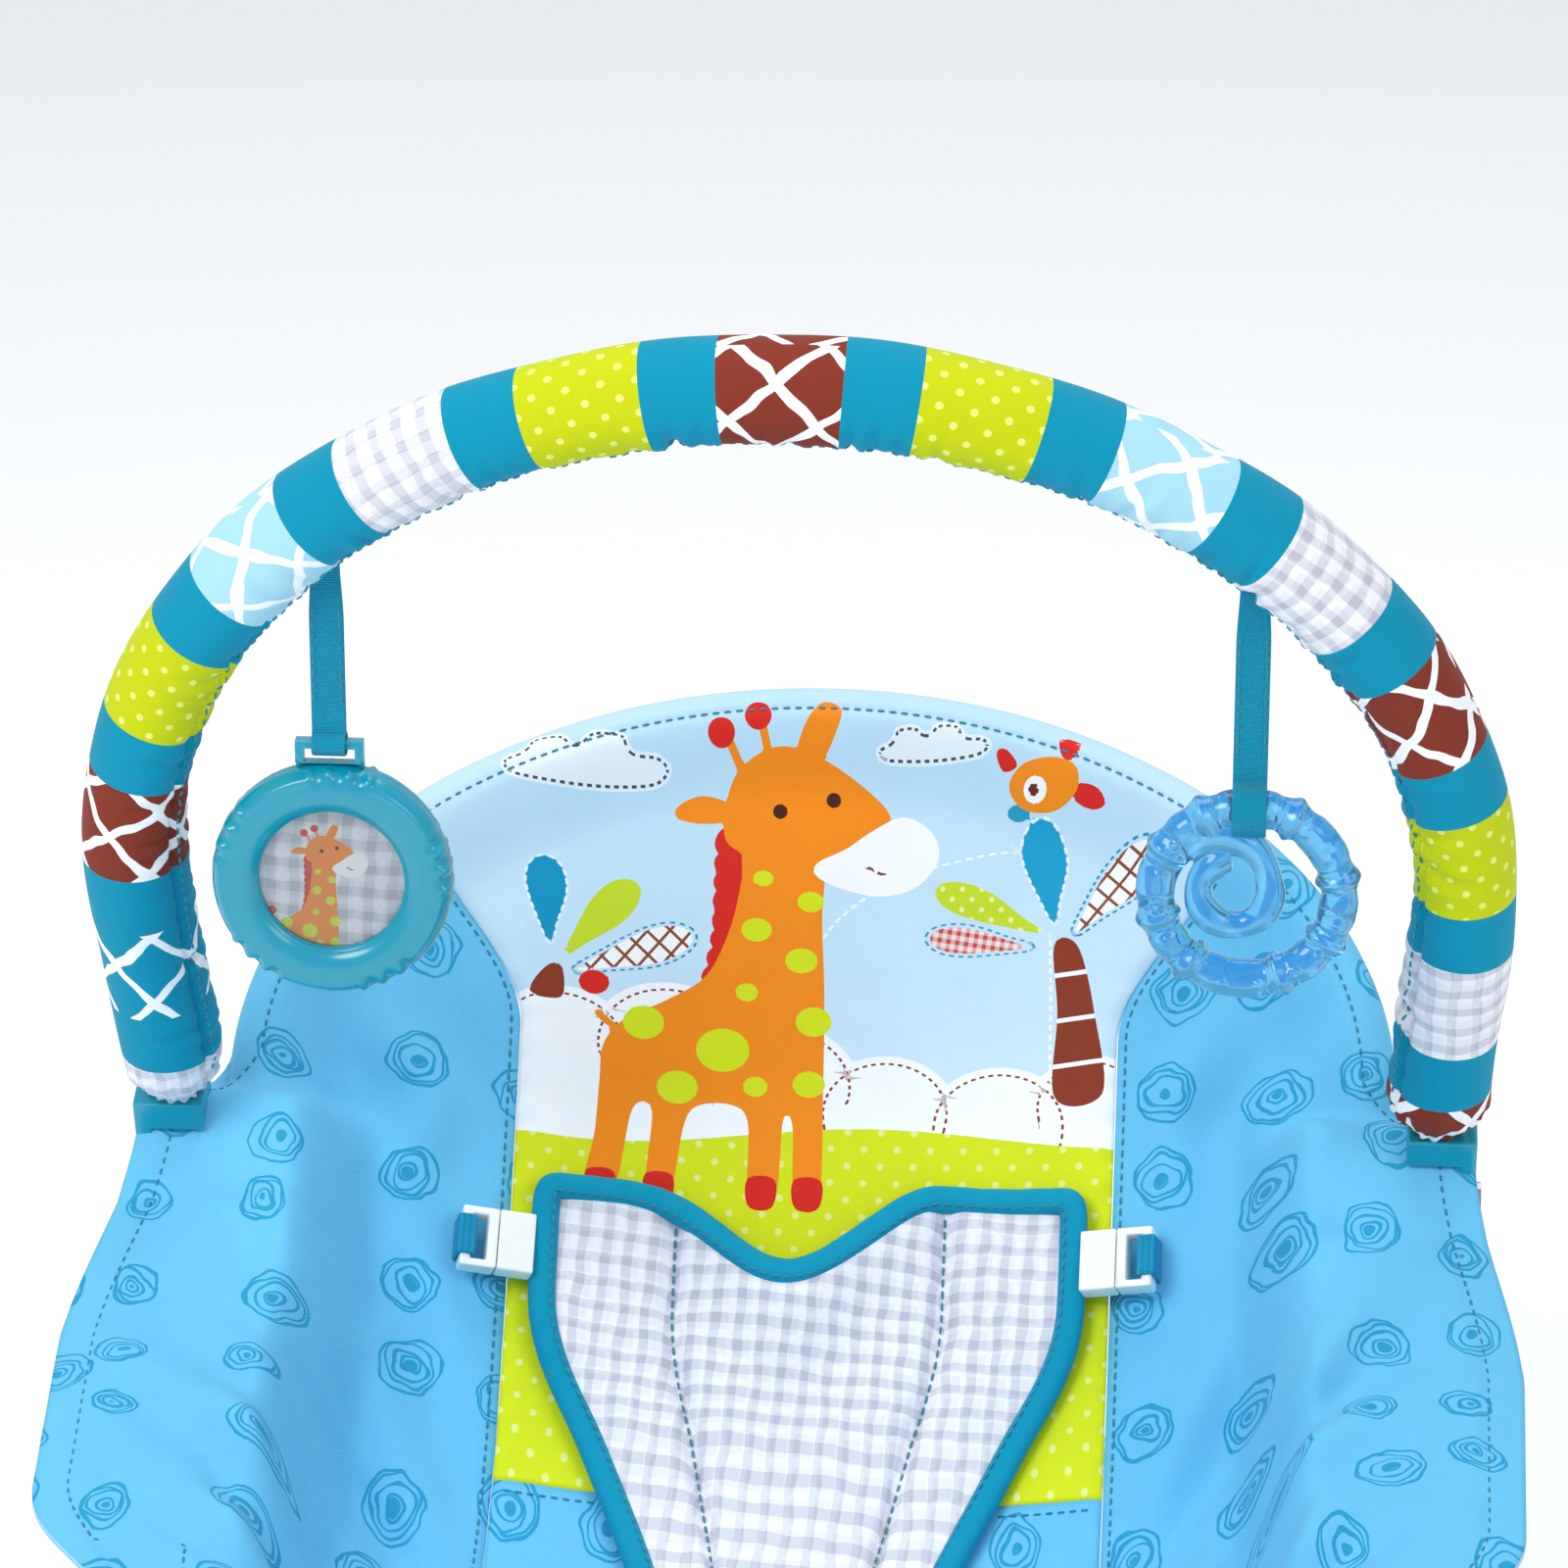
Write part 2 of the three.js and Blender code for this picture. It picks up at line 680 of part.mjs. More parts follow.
function addHubs() {
  const alongHoop = at(0, Math.cos(recline), Math.sin(recline)).multiplyScalar(hubRadius + 5);
  for (const side of sides) {
    const out = (distance) => side.sign * distance;
    const centre = at(out(seatHalfWidth), hubSetback, hubHeight);
    const hoopBore = rod(centre.clone().sub(alongHoop), centre.clone().add(alongHoop), tubeRadius + slipFit);
    const pinHole = crossRod(out(hubInnerFace - 5), out(hubOuterFace + 5), hubSetback, hubHeight, pinBore);
    const screwHoles = hubScrewPlaces().flatMap(({ y, z }) => [
      crossRod(out(hubInnerFace - 5), out(hubOuterFace - 6), y, z, screwBore, 10),
      crossRod(out(hubInnerFace - 5), out(hubInnerFace + screwHeadHeight + gap), y, z, screwHeadRadius + gap, 12),
    ]);
    const inner = crossRod(out(hubInnerFace), out(hubSplit), hubSetback, hubHeight, hubRadius, 24);
    const innerGeometry = shaped(inner, { less: [hoopBore, pinHole, ...screwHoles] });
    add(`hub_inner_${side.name}`, innerGeometry, tealPlastic);

    const riserCentre = at(out(frameHalfWidth), hubSetback, hubHeight);
    const boreStart = riserCentre.clone().addScaledVector(riserDown, riserStop - gap);
    const boreEnd = riserCentre.clone().addScaledVector(riserDown, hubRadius + 5);
    const riserBore = rod(boreStart, boreEnd, tubeRadius + slipFit);
    const outer = crossRod(out(hubSplit + gap), out(hubOuterFace), hubSetback, hubHeight, hubRadius, 24);
    const outerGeometry = shaped(outer, { less: [riserBore, pinHole, ...screwHoles] });
    add(`hub_outer_${side.name}`, outerGeometry, tealPlastic);
    addHubFasteners(side, out);
  }
}

function addHubFasteners(side, out) {
  const pinEnd = lugFace + lugThickness + gap;
  const shank = crossRod(out(hubInnerFace + 2), out(pinEnd + 1), hubSetback, hubHeight, pinRadius);
  const head = crossRod(out(pinEnd), out(pinEnd + pinHeadHeight), hubSetback, hubHeight, pinHeadRadius);
  add(`pivot_pin_${side.name}`, shaped(shank, { plus: [head] }), bareSteel);
  hubScrewPlaces().forEach(({ y, z }, i) => {
    const headFace = hubInnerFace + gap / 2;
    const thread = crossRod(out(headFace + 0.5), out(hubOuterFace - 7), y, z, screwRadius, 8);
    const cap = crossRod(out(headFace), out(headFace + screwHeadHeight), y, z, screwHeadRadius, 10);
    add(`hub_screw_${i + 1}_${side.name}`, shaped(cap, { plus: [thread] }), bareSteel);
  });
}

// ---------------------------------------------------------------- toy bar

// Centre line of the toy bar, starting a distance above the pivots.
function barLine(start) {
  const line = [];
  for (let h = start; h < barLeg - 4; h += rowPitch) {
    const spread = barSpread * THREE.MathUtils.smoothstep(h, clipOuter, barLeg);
    line.push([barHalfWidth + spread, h]);
  }
  const left = line.map(([x, h]) => [-x, h]).reverse();
  const facets = 40;
  for (let i = 0; i <= facets; i++) {
    const turn = (Math.PI * i) / facets;
    line.push([archHalfWidth * Math.cos(turn), barLeg + barRise * Math.sin(turn)]);
  }
  return [...line, ...left].map(([x, h]) => barPoint(x, h));
}

// A point of the bar's plane, at a height above the pivots measured along that plane.
function barPoint(x, h) {
  return at(x, hubSetback - h * Math.sin(barLean), hubHeight + h * Math.cos(barLean));
}

// A piece drawn with an upright bar, leant over about the pivots.
function leant(geometry) {
  geometry.translate(0, -hubSetback, -hubHeight);
  geometry.rotateX(barLean);
  return geometry.translate(0, hubSetback, hubHeight);
}

function addToyBar() {
  for (const side of sides) {
    const out = (distance) => side.sign * distance;
    const x = out(barHalfWidth);
    const half = clipWidth / 2;
    const front = hubSetback - half;
    const rear = hubSetback + half;
    const blockLow = hubHeight + clipInner;
    const blockTop = hubHeight + clipOuter;
    const blockInner = barHalfWidth - barCoreRadius - slipFit - clipWall;
    const lug = crossRod(out(lugFace), out(lugFace + lugThickness), hubSetback, hubHeight, lugRadius, 20);
    const arm = block(out(lugFace), out(lugFace + lugThickness), front, rear, hubHeight + 6, blockTop);
    const socket = block(out(blockInner), out(lugFace + 1), front, rear, blockLow, blockTop);
    const pinHole = crossRod(out(lugFace - 5), out(lugFace + lugThickness + 5), hubSetback, hubHeight, pinBore);
    const coreEnd = at(x, hubSetback, blockLow + clipFloor);
    const coreBore = rod(coreEnd, at(x, hubSetback, blockTop + 5), barCoreRadius + slipFit);
    const body = shaped(lug, { plus: [arm, socket], less: [pinHole, coreBore] });
    add(`toy_bar_clip_${side.name}`, leant(body), tealPlastic);
  }
  const core = barLine(clipInner + clipFloor + gap);
  const covered = barLine(clipOuter + 1);
  add("toy_bar_core", tube(core, barCoreRadius, barSteps), whitePlastic);
  add("toy_bar_padding", tube(covered, paddingRadius, barSteps, barSides, paddingBore), foam);
  add("toy_bar_cover", tube(covered, coverRadius, barSteps, barSides, coverBore), tealFabric);
}

// ---------------------------------------------------------------- hanging toys

// The place under the cover where a toy's strap is sewn on.
function toyAnchor(side) {
  const slopeX = Math.cos(toyAngle) / archHalfWidth;
  const slopeZ = Math.sin(toyAngle) / barRise;
  const length = Math.hypot(slopeX, slopeZ);
  const x = archHalfWidth * Math.cos(toyAngle) - (coverRadius * slopeX) / length;
  const h = barLeg + barRise * Math.sin(toyAngle) - (coverRadius * slopeZ) / length;
  return barPoint(side.sign * x, h);
}

// A strap that hangs down and opens into a loop round a bar at a drop under its anchor.
function strapGeometry(drop, loopInner) {
  const loopOuter = loopInner + strapSkin;
  const half = strapThickness / 2;
  const join = Math.asin(half / loopOuter);
  const outline = new THREE.Shape();
  outline.moveTo(-half, -strapDrop);
  outline.lineTo(-half, -drop + loopOuter * Math.cos(join));
  outline.absarc(0, -drop, loopOuter, Math.PI / 2 + join, 2.5 * Math.PI - join, false);
  outline.lineTo(half, -strapDrop);
  outline.closePath();
  const hole = new THREE.Path();
  hole.absarc(0, -drop, loopInner, 0, 2 * Math.PI, true);
  outline.holes.push(hole);
  return alongX(outline, -strapWidth / 2, strapWidth / 2);
}

const loopBarHeight = mirrorRadius + 1 + loopWindow + loopBar / 2;
const loopBarSweep = Math.hypot(loopBar, loopDepth) / 2 + slipFit;

function addMirrorToy(side) {
  const anchor = toyAnchor(side);
  const hanger = new THREE.Group();
  hanger.position.copy(anchor);
  seatModel.add(hanger);
  add(`toy_strap_${side.name}`, strapGeometry(mirrorHang - loopBarHeight, loopBarSweep), webbing, hanger);
  const toy = new THREE.Group();
  toy.position.set(0, 0, -mirrorHang);
  hanger.add(toy);
  addMirrorShells(toy);
}

// The round shells are turned about Y: the front shell holds the lens and the printed card.
function addMirrorShells(toy) {
  const depth = mirrorHalfDepth;
  const seat = windowRadius + lensLip;
  const turned = (profile) =>
    new THREE.LatheGeometry(profile.map(([r, y]) => new THREE.Vector2(r, y)), 24);
  const rim = mirrorRadius;
  const front = turned([
    [windowRadius, -depth + windowSlope],
    [windowRadius + windowSlope, -depth + 1],
    [windowRadius + faceRing, -depth],
    [rim - rimRound, -depth + rimRound / 2],
    [rim, -depth + rimCrown],
    [rim, -gap / 2],
    [seat, -gap / 2],
    [seat, -lensSeat],
    [windowRadius, -lensSeat],
    [windowRadius, -depth + windowSlope],
  ]);
  add("mirror_front_shell", front, tealPlastic, toy);
  const back = turned([
    [0, gap / 2],
    [rim, gap / 2],
    [rim, depth - rimCrown],
    [rim - rimRound, depth - rimRound / 2],
    [windowRadius + faceRing, depth],
    [windowRadius + windowSlope, depth - 1],
    [windowRadius, backFloor],
    [0, backFloor],
  ]);
  add("mirror_back_shell", shaped(back, { plus: [strapBracket()] }), tealPlastic, toy);
  const disc = (y, thickness) => rod(at(0, y, 0), at(0, y + thickness, 0), seat - gap, 24);
  const lensFace = -lensSeat + gap * 0.75;
  add("mirror_lens", disc(lensFace, lensThickness), clearPlastic, toy);
  add("mirror_print", disc(lensFace + lensThickness + gap, cardThickness), printedCard, toy);
}

// The bracket is a window frame that stands on the rim of the back shell.
function strapBracket() {
  const half = loopDepth / 2;
  const top = loopBarHeight + loopBar / 2;
  const foot = mirrorRadius + 0.6;
  const windowHalf = loopHalfWidth - loopBar;
  const window = block(-windowHalf, windowHalf, -half - 1, half + 1, mirrorRadius + 1, top - loopBar);
  const neck = block(-loopHalfWidth, loopHalfWidth, gap / 2, half, mirrorRadius - 6, foot + 0.2);
  return shaped(block(-loopHalfWidth, loopHalfWidth, -half, half, foot, top), {
    plus: [neck],
    less: [window],
  });
}

function addTeether(side) {
  const anchor = toyAnchor(side);
  const hanger = new THREE.Group();
  hanger.position.copy(anchor);
  seatModel.add(hanger);
  const fallAway = strapWidth ** 2 / (8 * teetherRadius);
  const loop = teetherTube + slipFit + fallAway;
  add(`toy_strap_${side.name}`, strapGeometry(teetherHang - teetherRadius, loop), webbing, hanger);
  const upright = (radius, thick, around) =>
    new THREE.TorusGeometry(radius, thick, 8, around).rotateX(Math.PI / 2);
  const curl = upright(teetherInnerRadius, teetherInnerTube, 16).translate(-teetherInnerShift, 0, 0);
  const ring = shaped(upright(teetherRadius, teetherTube, 26), { plus: [curl] });
  add("teether", ring, teetherPlastic, hanger).position.set(0, 0, -teetherHang);
}

// ---------------------------------------------------------------- vibration unit

function unitPlace() {
  const foot = sideLine(hoopLength);
  return at(0, foot.y + unitSetback, foot.z - unitDrop);
}

const doorHalfWidth = unitHalfWidth - doorMargin;
const knobX = -unitHalfWidth + knobPlace;
const caseScrews = sides.map(({ name, sign }) => ({
  name,
  x: sign * (unitHalfWidth - bossInset),
  z: -unitHalfHeight + bossInset,
}));

function addUnitCases(unit) {
  const wide = unitHalfWidth;
  const deep = unitHalfDepth;
  const high = unitHalfHeight;
  const wall = unitWall;
  const inside = (y0, y1) => block(-wide + wall, wide - wall, y0, y1, -high + wall, high - wall);
  const boss = ({ x, z }, y0, y1) => rod(at(x, y0, z), at(x, y1, z), bossRadius, 12);
  const bore = ({ x, z }, y0, y1, radius) => rod(at(x, y0, z), at(x, y1, z), radius, 10);
  const headSeat = deep - screwHeadHeight - gap;

  const doorway = block(
    -doorHalfWidth, doorHalfWidth, deep - wall - 1, deep + 1, doorLow - gap, doorHigh + doorSwing,
  );
  const backBox = shaped(block(-wide, wide, gap / 2, deep, -high, high), {
    less: [inside(-1, deep - wall), doorway],
  });
  const back = shaped(backBox, {
    plus: [...caseScrews.map((place) => boss(place, gap / 2, deep - bossStop)), footClamp()],
    less: [
      ...caseScrews.map((place) => bore(place, -1, deep + 1, screwBore)),
      ...caseScrews.map((place) => bore(place, headSeat, deep + 1, screwHeadRadius + gap)),
      footTubeBore(),
    ],
  });
  add("vibration_back_case", back, whitePlastic, unit);

  const slotHalf = knobStem + knobTravel + knobSlip;
  const switchSlot = block(
    knobX - slotHalf, knobX + slotHalf, -deep - 1, -deep + wall + 1, knobLift - knobStem, knobLift + knobStem,
  );
  const frontBox = shaped(block(-wide, wide, -deep, -gap / 2, -high, high), {
    less: [inside(-deep + wall, 1), switchSlot],
  });
  const front = shaped(frontBox, {
    plus: caseScrews.map((place) => boss(place, -deep + bossStop, -gap / 2)),
    less: caseScrews.map((place) => bore(place, -deep + wall + 3, 1, screwBore)),
  });
  add("vibration_front_case", front, whitePlastic, unit);
  for (const { name, x, z } of caseScrews) {
    const head = rod(at(x, deep - screwHeadHeight - gap / 2, z), at(x, deep - gap / 2, z), screwHeadRadius, 10);
    const thread = rod(at(x, -deep + wall + 5, z), at(x, deep - 1, z), screwRadius, 8);
    add(`vibration_screw_${name}`, shaped(head, { plus: [thread] }), bareSteel, unit);
  }
}

// The clamp on top of the back case reaches round the hoop's foot tube and its hem.
function footClamp() {
  const radius = hemRadius + clampSlip + clampWall;
  const half = clampWidth / 2;
  const ring = crossRod(-half, half, -unitSetback, unitDrop, radius, 20);
  const neck = new THREE.Shape();
  neck.moveTo(gap / 2, unitHalfHeight - 1);
  neck.lineTo(neckDepth, unitHalfHeight - 1);
  neck.lineTo(neckDepth, unitHalfHeight + 2);
  neck.lineTo(0, unitDrop - radius + 2);
  neck.lineTo(-unitSetback, unitDrop);
  neck.lineTo(-unitSetback, unitDrop - radius + 1);
  neck.lineTo(gap / 2, unitHalfHeight + 2);
  neck.closePath();
  return shaped(ring, { plus: [alongX(neck, -half, half)] });
}

function footTubeBore() {
  const bore = crossRod(-clampWidth, clampWidth, -unitSetback, unitDrop, hemRadius + clampSlip, 20);
  const mouth = block(
    -clampWidth, clampWidth, -unitSetback - 40, -unitSetback - 6, unitDrop - 40, unitDrop - 1,
  );
  return shaped(bore, { plus: [mouth] });
}

function addUnitWorks(unit) {
  const deep = unitHalfDepth;
  const wall = unitWall;
  const doorHalf = doorHalfWidth - gap;
  const door = block(-doorHalf, doorHalf, deep - doorThickness, deep, doorLow, doorHigh);
  add("vibration_battery_door", door, whitePlastic, unit);
  const cellY = deep - wall - batteryRadius - 1;
  const cellEnd = batteryLength / 2;
  add("vibration_battery", crossRod(-cellEnd, cellEnd, cellY, -cellDrop, batteryRadius, 20), cellWrap, unit);
  const springEnd = unitHalfWidth - wall - gap;
  const springLength = springEnd - cellEnd - gap;
  const spring = new THREE.CylinderGeometry(springWire, 2 * springWire, springLength, 12).rotateZ(-Math.PI / 2);
  spring.translate(-(springEnd + cellEnd + gap) / 2, cellY, -cellDrop);
  add("vibration_battery_spring", spring, bareSteel, unit);
  addMotor(unit);
  const boardX = -unitHalfWidth + boardInset;
  const board = block(boardX, boardX + boardLength, -boardAhead, -boardAhead + boardThickness, 0, boardHeight);
  add("vibration_circuit_board", board, copperBoard, unit);
  const plate = (half, y0, y1, high) =>
    block(knobX - half, knobX + half, y0, y1, knobLift - high, knobLift + high);
  const stem = plate(knobStem, -deep - 1, -deep + wall + 1, knobStem - knobSlip);
  const cap = plate(knobCap, -deep - knobStand, -deep - gap, knobCap);
  const keeper = plate(knobCap, -deep + wall + gap, -deep + wall + 2, knobCap);
  add("vibration_switch", shaped(cap, { plus: [stem, keeper] }), tealPlastic, unit);
}

// The motor's half-round weight shakes the seat as it turns.
function addMotor(unit) {
  const end = motorStart + motorLength;
  const along = (x0, x1, radius, facets) => crossRod(x0, x1, -motorAhead, motorLift, radius, facets);
  const can = along(motorStart, end, motorRadius, 16);
  const mouth = along(end - motorMouth, end + 1, shaftRadius + shaftSlip, 12);
  add("vibration_motor", shaped(can, { less: [mouth] }), bareSteel, unit);
  const disc = along(end + weightStart, end + weightStart + weightLength, weightRadius, 16);
  const away = weightRadius + 2;
  const upperHalf = block(
    end, end + shaftReach + 1, -motorAhead - away, -motorAhead + away, motorLift + shaftRadius, motorLift + away,
  );
  const half = shaped(disc, { less: [upperHalf] });
  const shaft = along(end - motorMouth + 1, end + shaftReach, shaftRadius, 12);
  add("vibration_weight", shaped(half, { plus: [shaft] }), bareSteel, unit);
}

// ---------------------------------------------------------------- assembly

addFloorFrame();
addFeet();
addCouplers();
addRisers();
addHoop();
addPanels();
addRestraint();
addBuckles();
addHubs();
addToyBar();
addMirrorToy(sides[0]);
addTeether(sides[1]);
const unit = new THREE.Group();
unit.position.copy(unitPlace());
seatModel.add(unit);
addUnitCases(unit);
addUnitWorks(unit);

export default seatModel;
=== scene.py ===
import math

import bmesh
import bpy
import numpy as np
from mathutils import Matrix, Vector


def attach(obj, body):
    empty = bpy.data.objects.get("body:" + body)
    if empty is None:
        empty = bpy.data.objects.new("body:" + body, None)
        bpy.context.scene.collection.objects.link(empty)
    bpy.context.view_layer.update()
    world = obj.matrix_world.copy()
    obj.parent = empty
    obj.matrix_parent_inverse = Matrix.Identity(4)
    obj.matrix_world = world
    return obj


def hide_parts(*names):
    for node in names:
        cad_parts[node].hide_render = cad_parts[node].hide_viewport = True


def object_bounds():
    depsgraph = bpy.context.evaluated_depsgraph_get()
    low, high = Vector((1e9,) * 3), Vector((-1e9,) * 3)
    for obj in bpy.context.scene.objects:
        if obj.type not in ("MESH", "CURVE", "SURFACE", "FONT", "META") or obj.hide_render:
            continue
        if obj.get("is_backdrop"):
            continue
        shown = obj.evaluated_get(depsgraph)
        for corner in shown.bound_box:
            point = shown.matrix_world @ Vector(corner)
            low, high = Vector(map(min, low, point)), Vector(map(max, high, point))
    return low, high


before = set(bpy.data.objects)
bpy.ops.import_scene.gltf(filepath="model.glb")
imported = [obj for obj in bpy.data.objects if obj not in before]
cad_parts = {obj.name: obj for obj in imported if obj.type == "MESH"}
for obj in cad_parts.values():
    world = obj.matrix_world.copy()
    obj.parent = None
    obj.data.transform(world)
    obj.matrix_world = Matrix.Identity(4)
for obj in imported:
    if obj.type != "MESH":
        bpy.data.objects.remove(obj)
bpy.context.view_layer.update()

# ------------------------------------------------------------ the studio
# The seat stands on a pale floor under three large soft lights, as for a catalogue picture. The camera
# stands before the foot end, a little to the right, and looks down on the toy bar with a long lens.
CAMERA_TURN = math.radians(4.2)
CAMERA_RISE = math.radians(21.4)
CAMERA_DISTANCE = 2.4
CAMERA_LENS = 156
AIM = Vector((-0.004, 0.0, 0.412))


def towards(turn, rise):
    """The direction from the seat towards a place round it."""
    return Vector((math.sin(turn) * math.cos(rise), -math.cos(turn) * math.cos(rise), math.sin(rise)))


camera = bpy.data.objects.new("camera", bpy.data.cameras.new("camera"))
bpy.context.collection.objects.link(camera)
camera.data.lens = CAMERA_LENS
camera.data.clip_end = 60
camera.location = AIM + towards(CAMERA_TURN, CAMERA_RISE) * CAMERA_DISTANCE
camera.rotation_mode = "QUATERNION"
camera.rotation_quaternion = towards(CAMERA_TURN, CAMERA_RISE).to_track_quat("Z", "Y")
bpy.context.scene.camera = camera


def panel_light(name, turn, rise, distance, size, power):
    """A round soft light that faces the seat."""
    light = bpy.data.objects.new(name, bpy.data.lights.new(name, "AREA"))
    bpy.context.collection.objects.link(light)
    light.data.shape = "DISK"
    light.data.size = size
    light.data.energy = power
    aim = towards(math.radians(turn), math.radians(rise))
    light.location = Vector((0, 0, 0.3)) + aim * distance
    light.rotation_mode = "QUATERNION"
    light.rotation_quaternion = aim.to_track_quat("Z", "Y")


panel_light("light_front_left", -38, 42, 2.2, 1.1, 23)
panel_light("light_front_right", 48, 34, 2.4, 1.1, 9)
panel_light("light_top", 170, 72, 2.2, 1.6, 16)

world = bpy.data.worlds.new("studio")
bpy.context.scene.world = world
world.use_nodes = True
world.node_tree.nodes["Background"].inputs["Color"].default_value = (0.94, 0.97, 1.0, 1)
world.node_tree.nodes["Background"].inputs["Strength"].default_value = 0.62
bpy.context.scene.view_settings.view_transform = "Standard"


def linear(code):
    """A colour written as #RRGGBB, in the renderer's own linear values."""
    parts = [int(code[i : i + 2], 16) / 255 for i in (1, 3, 5)]
    return tuple(p / 12.92 if p <= 0.04045 else ((p + 0.055) / 1.055) ** 2.4 for p in parts) + (1.0,)


def finish(name, colour, roughness, **constants):
    """A material with its constants on the shader's own sockets; returns it and its node tree."""
    material = bpy.data.materials.new(name)
    material.use_nodes = True
    shader = material.node_tree.nodes["Principled BSDF"]
    shader.inputs["Base Color"].default_value = linear(colour)
    shader.inputs["Roughness"].default_value = roughness
    for socket, value in constants.items():
        shader.inputs[socket.replace("_", " ")].default_value = value
    return material, material.node_tree


def put(tree, kind, sockets, output=0, **settings):
    """Adds a node; each socket takes a value or another node's output."""
    node = tree.nodes.new("ShaderNode" + kind)
    for setting, value in settings.items():
        setattr(node, setting, value)
    for socket, value in sockets.items():
        if isinstance(value, bpy.types.NodeSocket):
            tree.links.new(value, node.inputs[socket])
        else:
            node.inputs[socket].default_value = value
    return node.outputs[output]


def maths(tree, operation, first, second=0.0):
    """One Math node."""
    return put(tree, "Math", {0: first, 1: second}, operation=operation)


def mixed(tree, share, first, second, how="MIX"):
    """Two colours mixed by a share."""
    return put(tree, "Mix", {0: share, 6: first, 7: second}, output=2, data_type="RGBA", blend_type=how)


def lead(tree, socket, output):
    """Leads an output to a socket of the material's shader."""
    tree.links.new(output, tree.nodes["Principled BSDF"].inputs[socket])


def speckle(tree, scale, detail=3.0, rough=0.55, vector=None):
    """Noise over the object, or over the place given."""
    if vector is None:
        vector = put(tree, "TexCoord", {}, output=3)
    return put(tree, "TexNoise", {"Vector": vector, "Scale": scale, "Detail": detail, "Roughness": rough})


def shaded(tree, colour, darker, lighter, noise):
    """A colour that varies a little with a noise."""
    dark = tuple(c * darker for c in colour[:3]) + (1.0,)
    light = tuple(min(1.0, c * lighter) for c in colour[:3]) + (1.0,)
    return mixed(tree, noise, dark, light)


def ranged(tree, value, low, high):
    """A noise or mask, from 0 to 1, turned into a range."""
    return put(tree, "MapRange", {0: value, 1: 0.0, 2: 1.0, 3: low, 4: high})


def embossed(tree, height, distance, strength=1.0):
    """Leads a height to the shader as a bump."""
    lead(tree, "Normal", put(tree, "Bump", {"Height": height, "Distance": distance, "Strength": strength}))


floor_paint, floor_tree = finish("floor_paint", "#F8F9FA", 0.55, Emission_Color=(1, 1, 1, 1),
                                 Emission_Strength=0.16)
lead(floor_tree, "Roughness", ranged(floor_tree, speckle(floor_tree, 6), 0.5, 0.62))
bpy.ops.object.select_all(action="DESELECT")
bpy.ops.mesh.primitive_plane_add(size=24, location=(0, 4, 0))
floor = bpy.context.object
floor.name = "studio_floor"
floor.data.materials.append(floor_paint)
floor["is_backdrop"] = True

# ------------------------------------------------------------ steel tubes
# Floor frame, two risers and the two halves of the seat hoop are bent from 16 mm steel tube with a wall
# of 1.2 mm, powder coated in pale grey. The floor frame is one tube, bent up at its two front ends.
MM = 0.001
TUBE_RADIUS = 8
TUBE_WALL = 1.2
FRAME_HALF_WIDTH = 230
FRONT_REACH = 270
RAIL_HEIGHT = 11
REAR_REACH = 274.8
FRONT_BEND = 45
REAR_BEND = 60
PIVOT_HEIGHT = 60.5
TUBE_END_GAP = 7
RISER_BEND = 35
RISER_CORNER = 96
HUB_SETBACK = 50
HUB_HEIGHT = 236
RISER_STOP = 9.5
HUB_TUBE_STOP = 7


def rounded_line(corners, radii, pitch=6.0):
    """A line through corners, in millimetres, with an arc of its own radius in each."""
    corners = [np.array(c, float) for c in corners]
    line = [corners[0]]
    for before, corner, after, radius in zip(corners, corners[1:], corners[2:], radii):
        into = (before - corner) / np.linalg.norm(before - corner)
        out = (after - corner) / np.linalg.norm(after - corner)
        half = math.acos(float(np.clip(into @ out, -1, 1))) / 2
        bisector = (into + out) / np.linalg.norm(into + out)
        centre = corner + bisector * radius / math.sin(half)
        first = corner + into * radius / math.tan(half) - centre
        last = corner + out * radius / math.tan(half) - centre
        turn = math.pi - 2 * half
        for k in range(13):
            share = k / 12
            arm = first * math.sin((1 - share) * turn) + last * math.sin(share * turn)
            line.append(centre + arm / math.sin(turn))
    line.append(corners[-1])
    points = []
    for a, b in zip(line, line[1:]):
        count = max(1, round(float(np.linalg.norm(b - a)) / pitch))
        points += [a + (b - a) * k / count for k in range(count)]
    return np.array(points + [line[-1]])


def new_mesh(name, points, faces, smooth=True, merge=False):
    """A new piece from points in millimetres, its faces turned outwards."""
    mesh = bpy.data.meshes.new(name)
    mesh.from_pydata([tuple(p) for p in np.asarray(points, float) * MM], [], [tuple(f) for f in faces])
    body = bmesh.new()
    body.from_mesh(mesh)
    if merge:
        bmesh.ops.remove_doubles(body, verts=body.verts, dist=1e-6)
    bmesh.ops.recalc_face_normals(body, faces=body.faces)
    body.to_mesh(mesh)
    body.free()
    mesh.polygons.foreach_set("use_smooth", [smooth] * len(mesh.polygons))
    piece = bpy.data.objects.new(name, mesh)
    bpy.context.collection.objects.link(piece)
    return piece


def along_line(points):
    """Unit tangents and two normals that turn as little as they can along a line."""
    tangents = np.gradient(points, axis=0)
    tangents /= np.linalg.norm(tangents, axis=1)[:, None]
    side = np.cross(tangents[0], [0.31, 0.24, 0.92])
    side /= np.linalg.norm(side)
    sides = []
    for tangent in tangents:
        side = side - tangent * (side @ tangent)
        side /= np.linalg.norm(side)
        sides.append(side)
    sides = np.array(sides)
    return tangents, sides, np.cross(tangents, sides)


def ring_faces(rows, around, closed=True):
    """Quads of a grid of rows that closes round."""
    faces = []
    last = rows if closed else rows - 1
    for i in range(last):
        j = (i + 1) % rows
        for k in range(around):
            m = (k + 1) % around
            faces.append((i * around + k, j * around + k, j * around + m, i * around + m))
    return faces


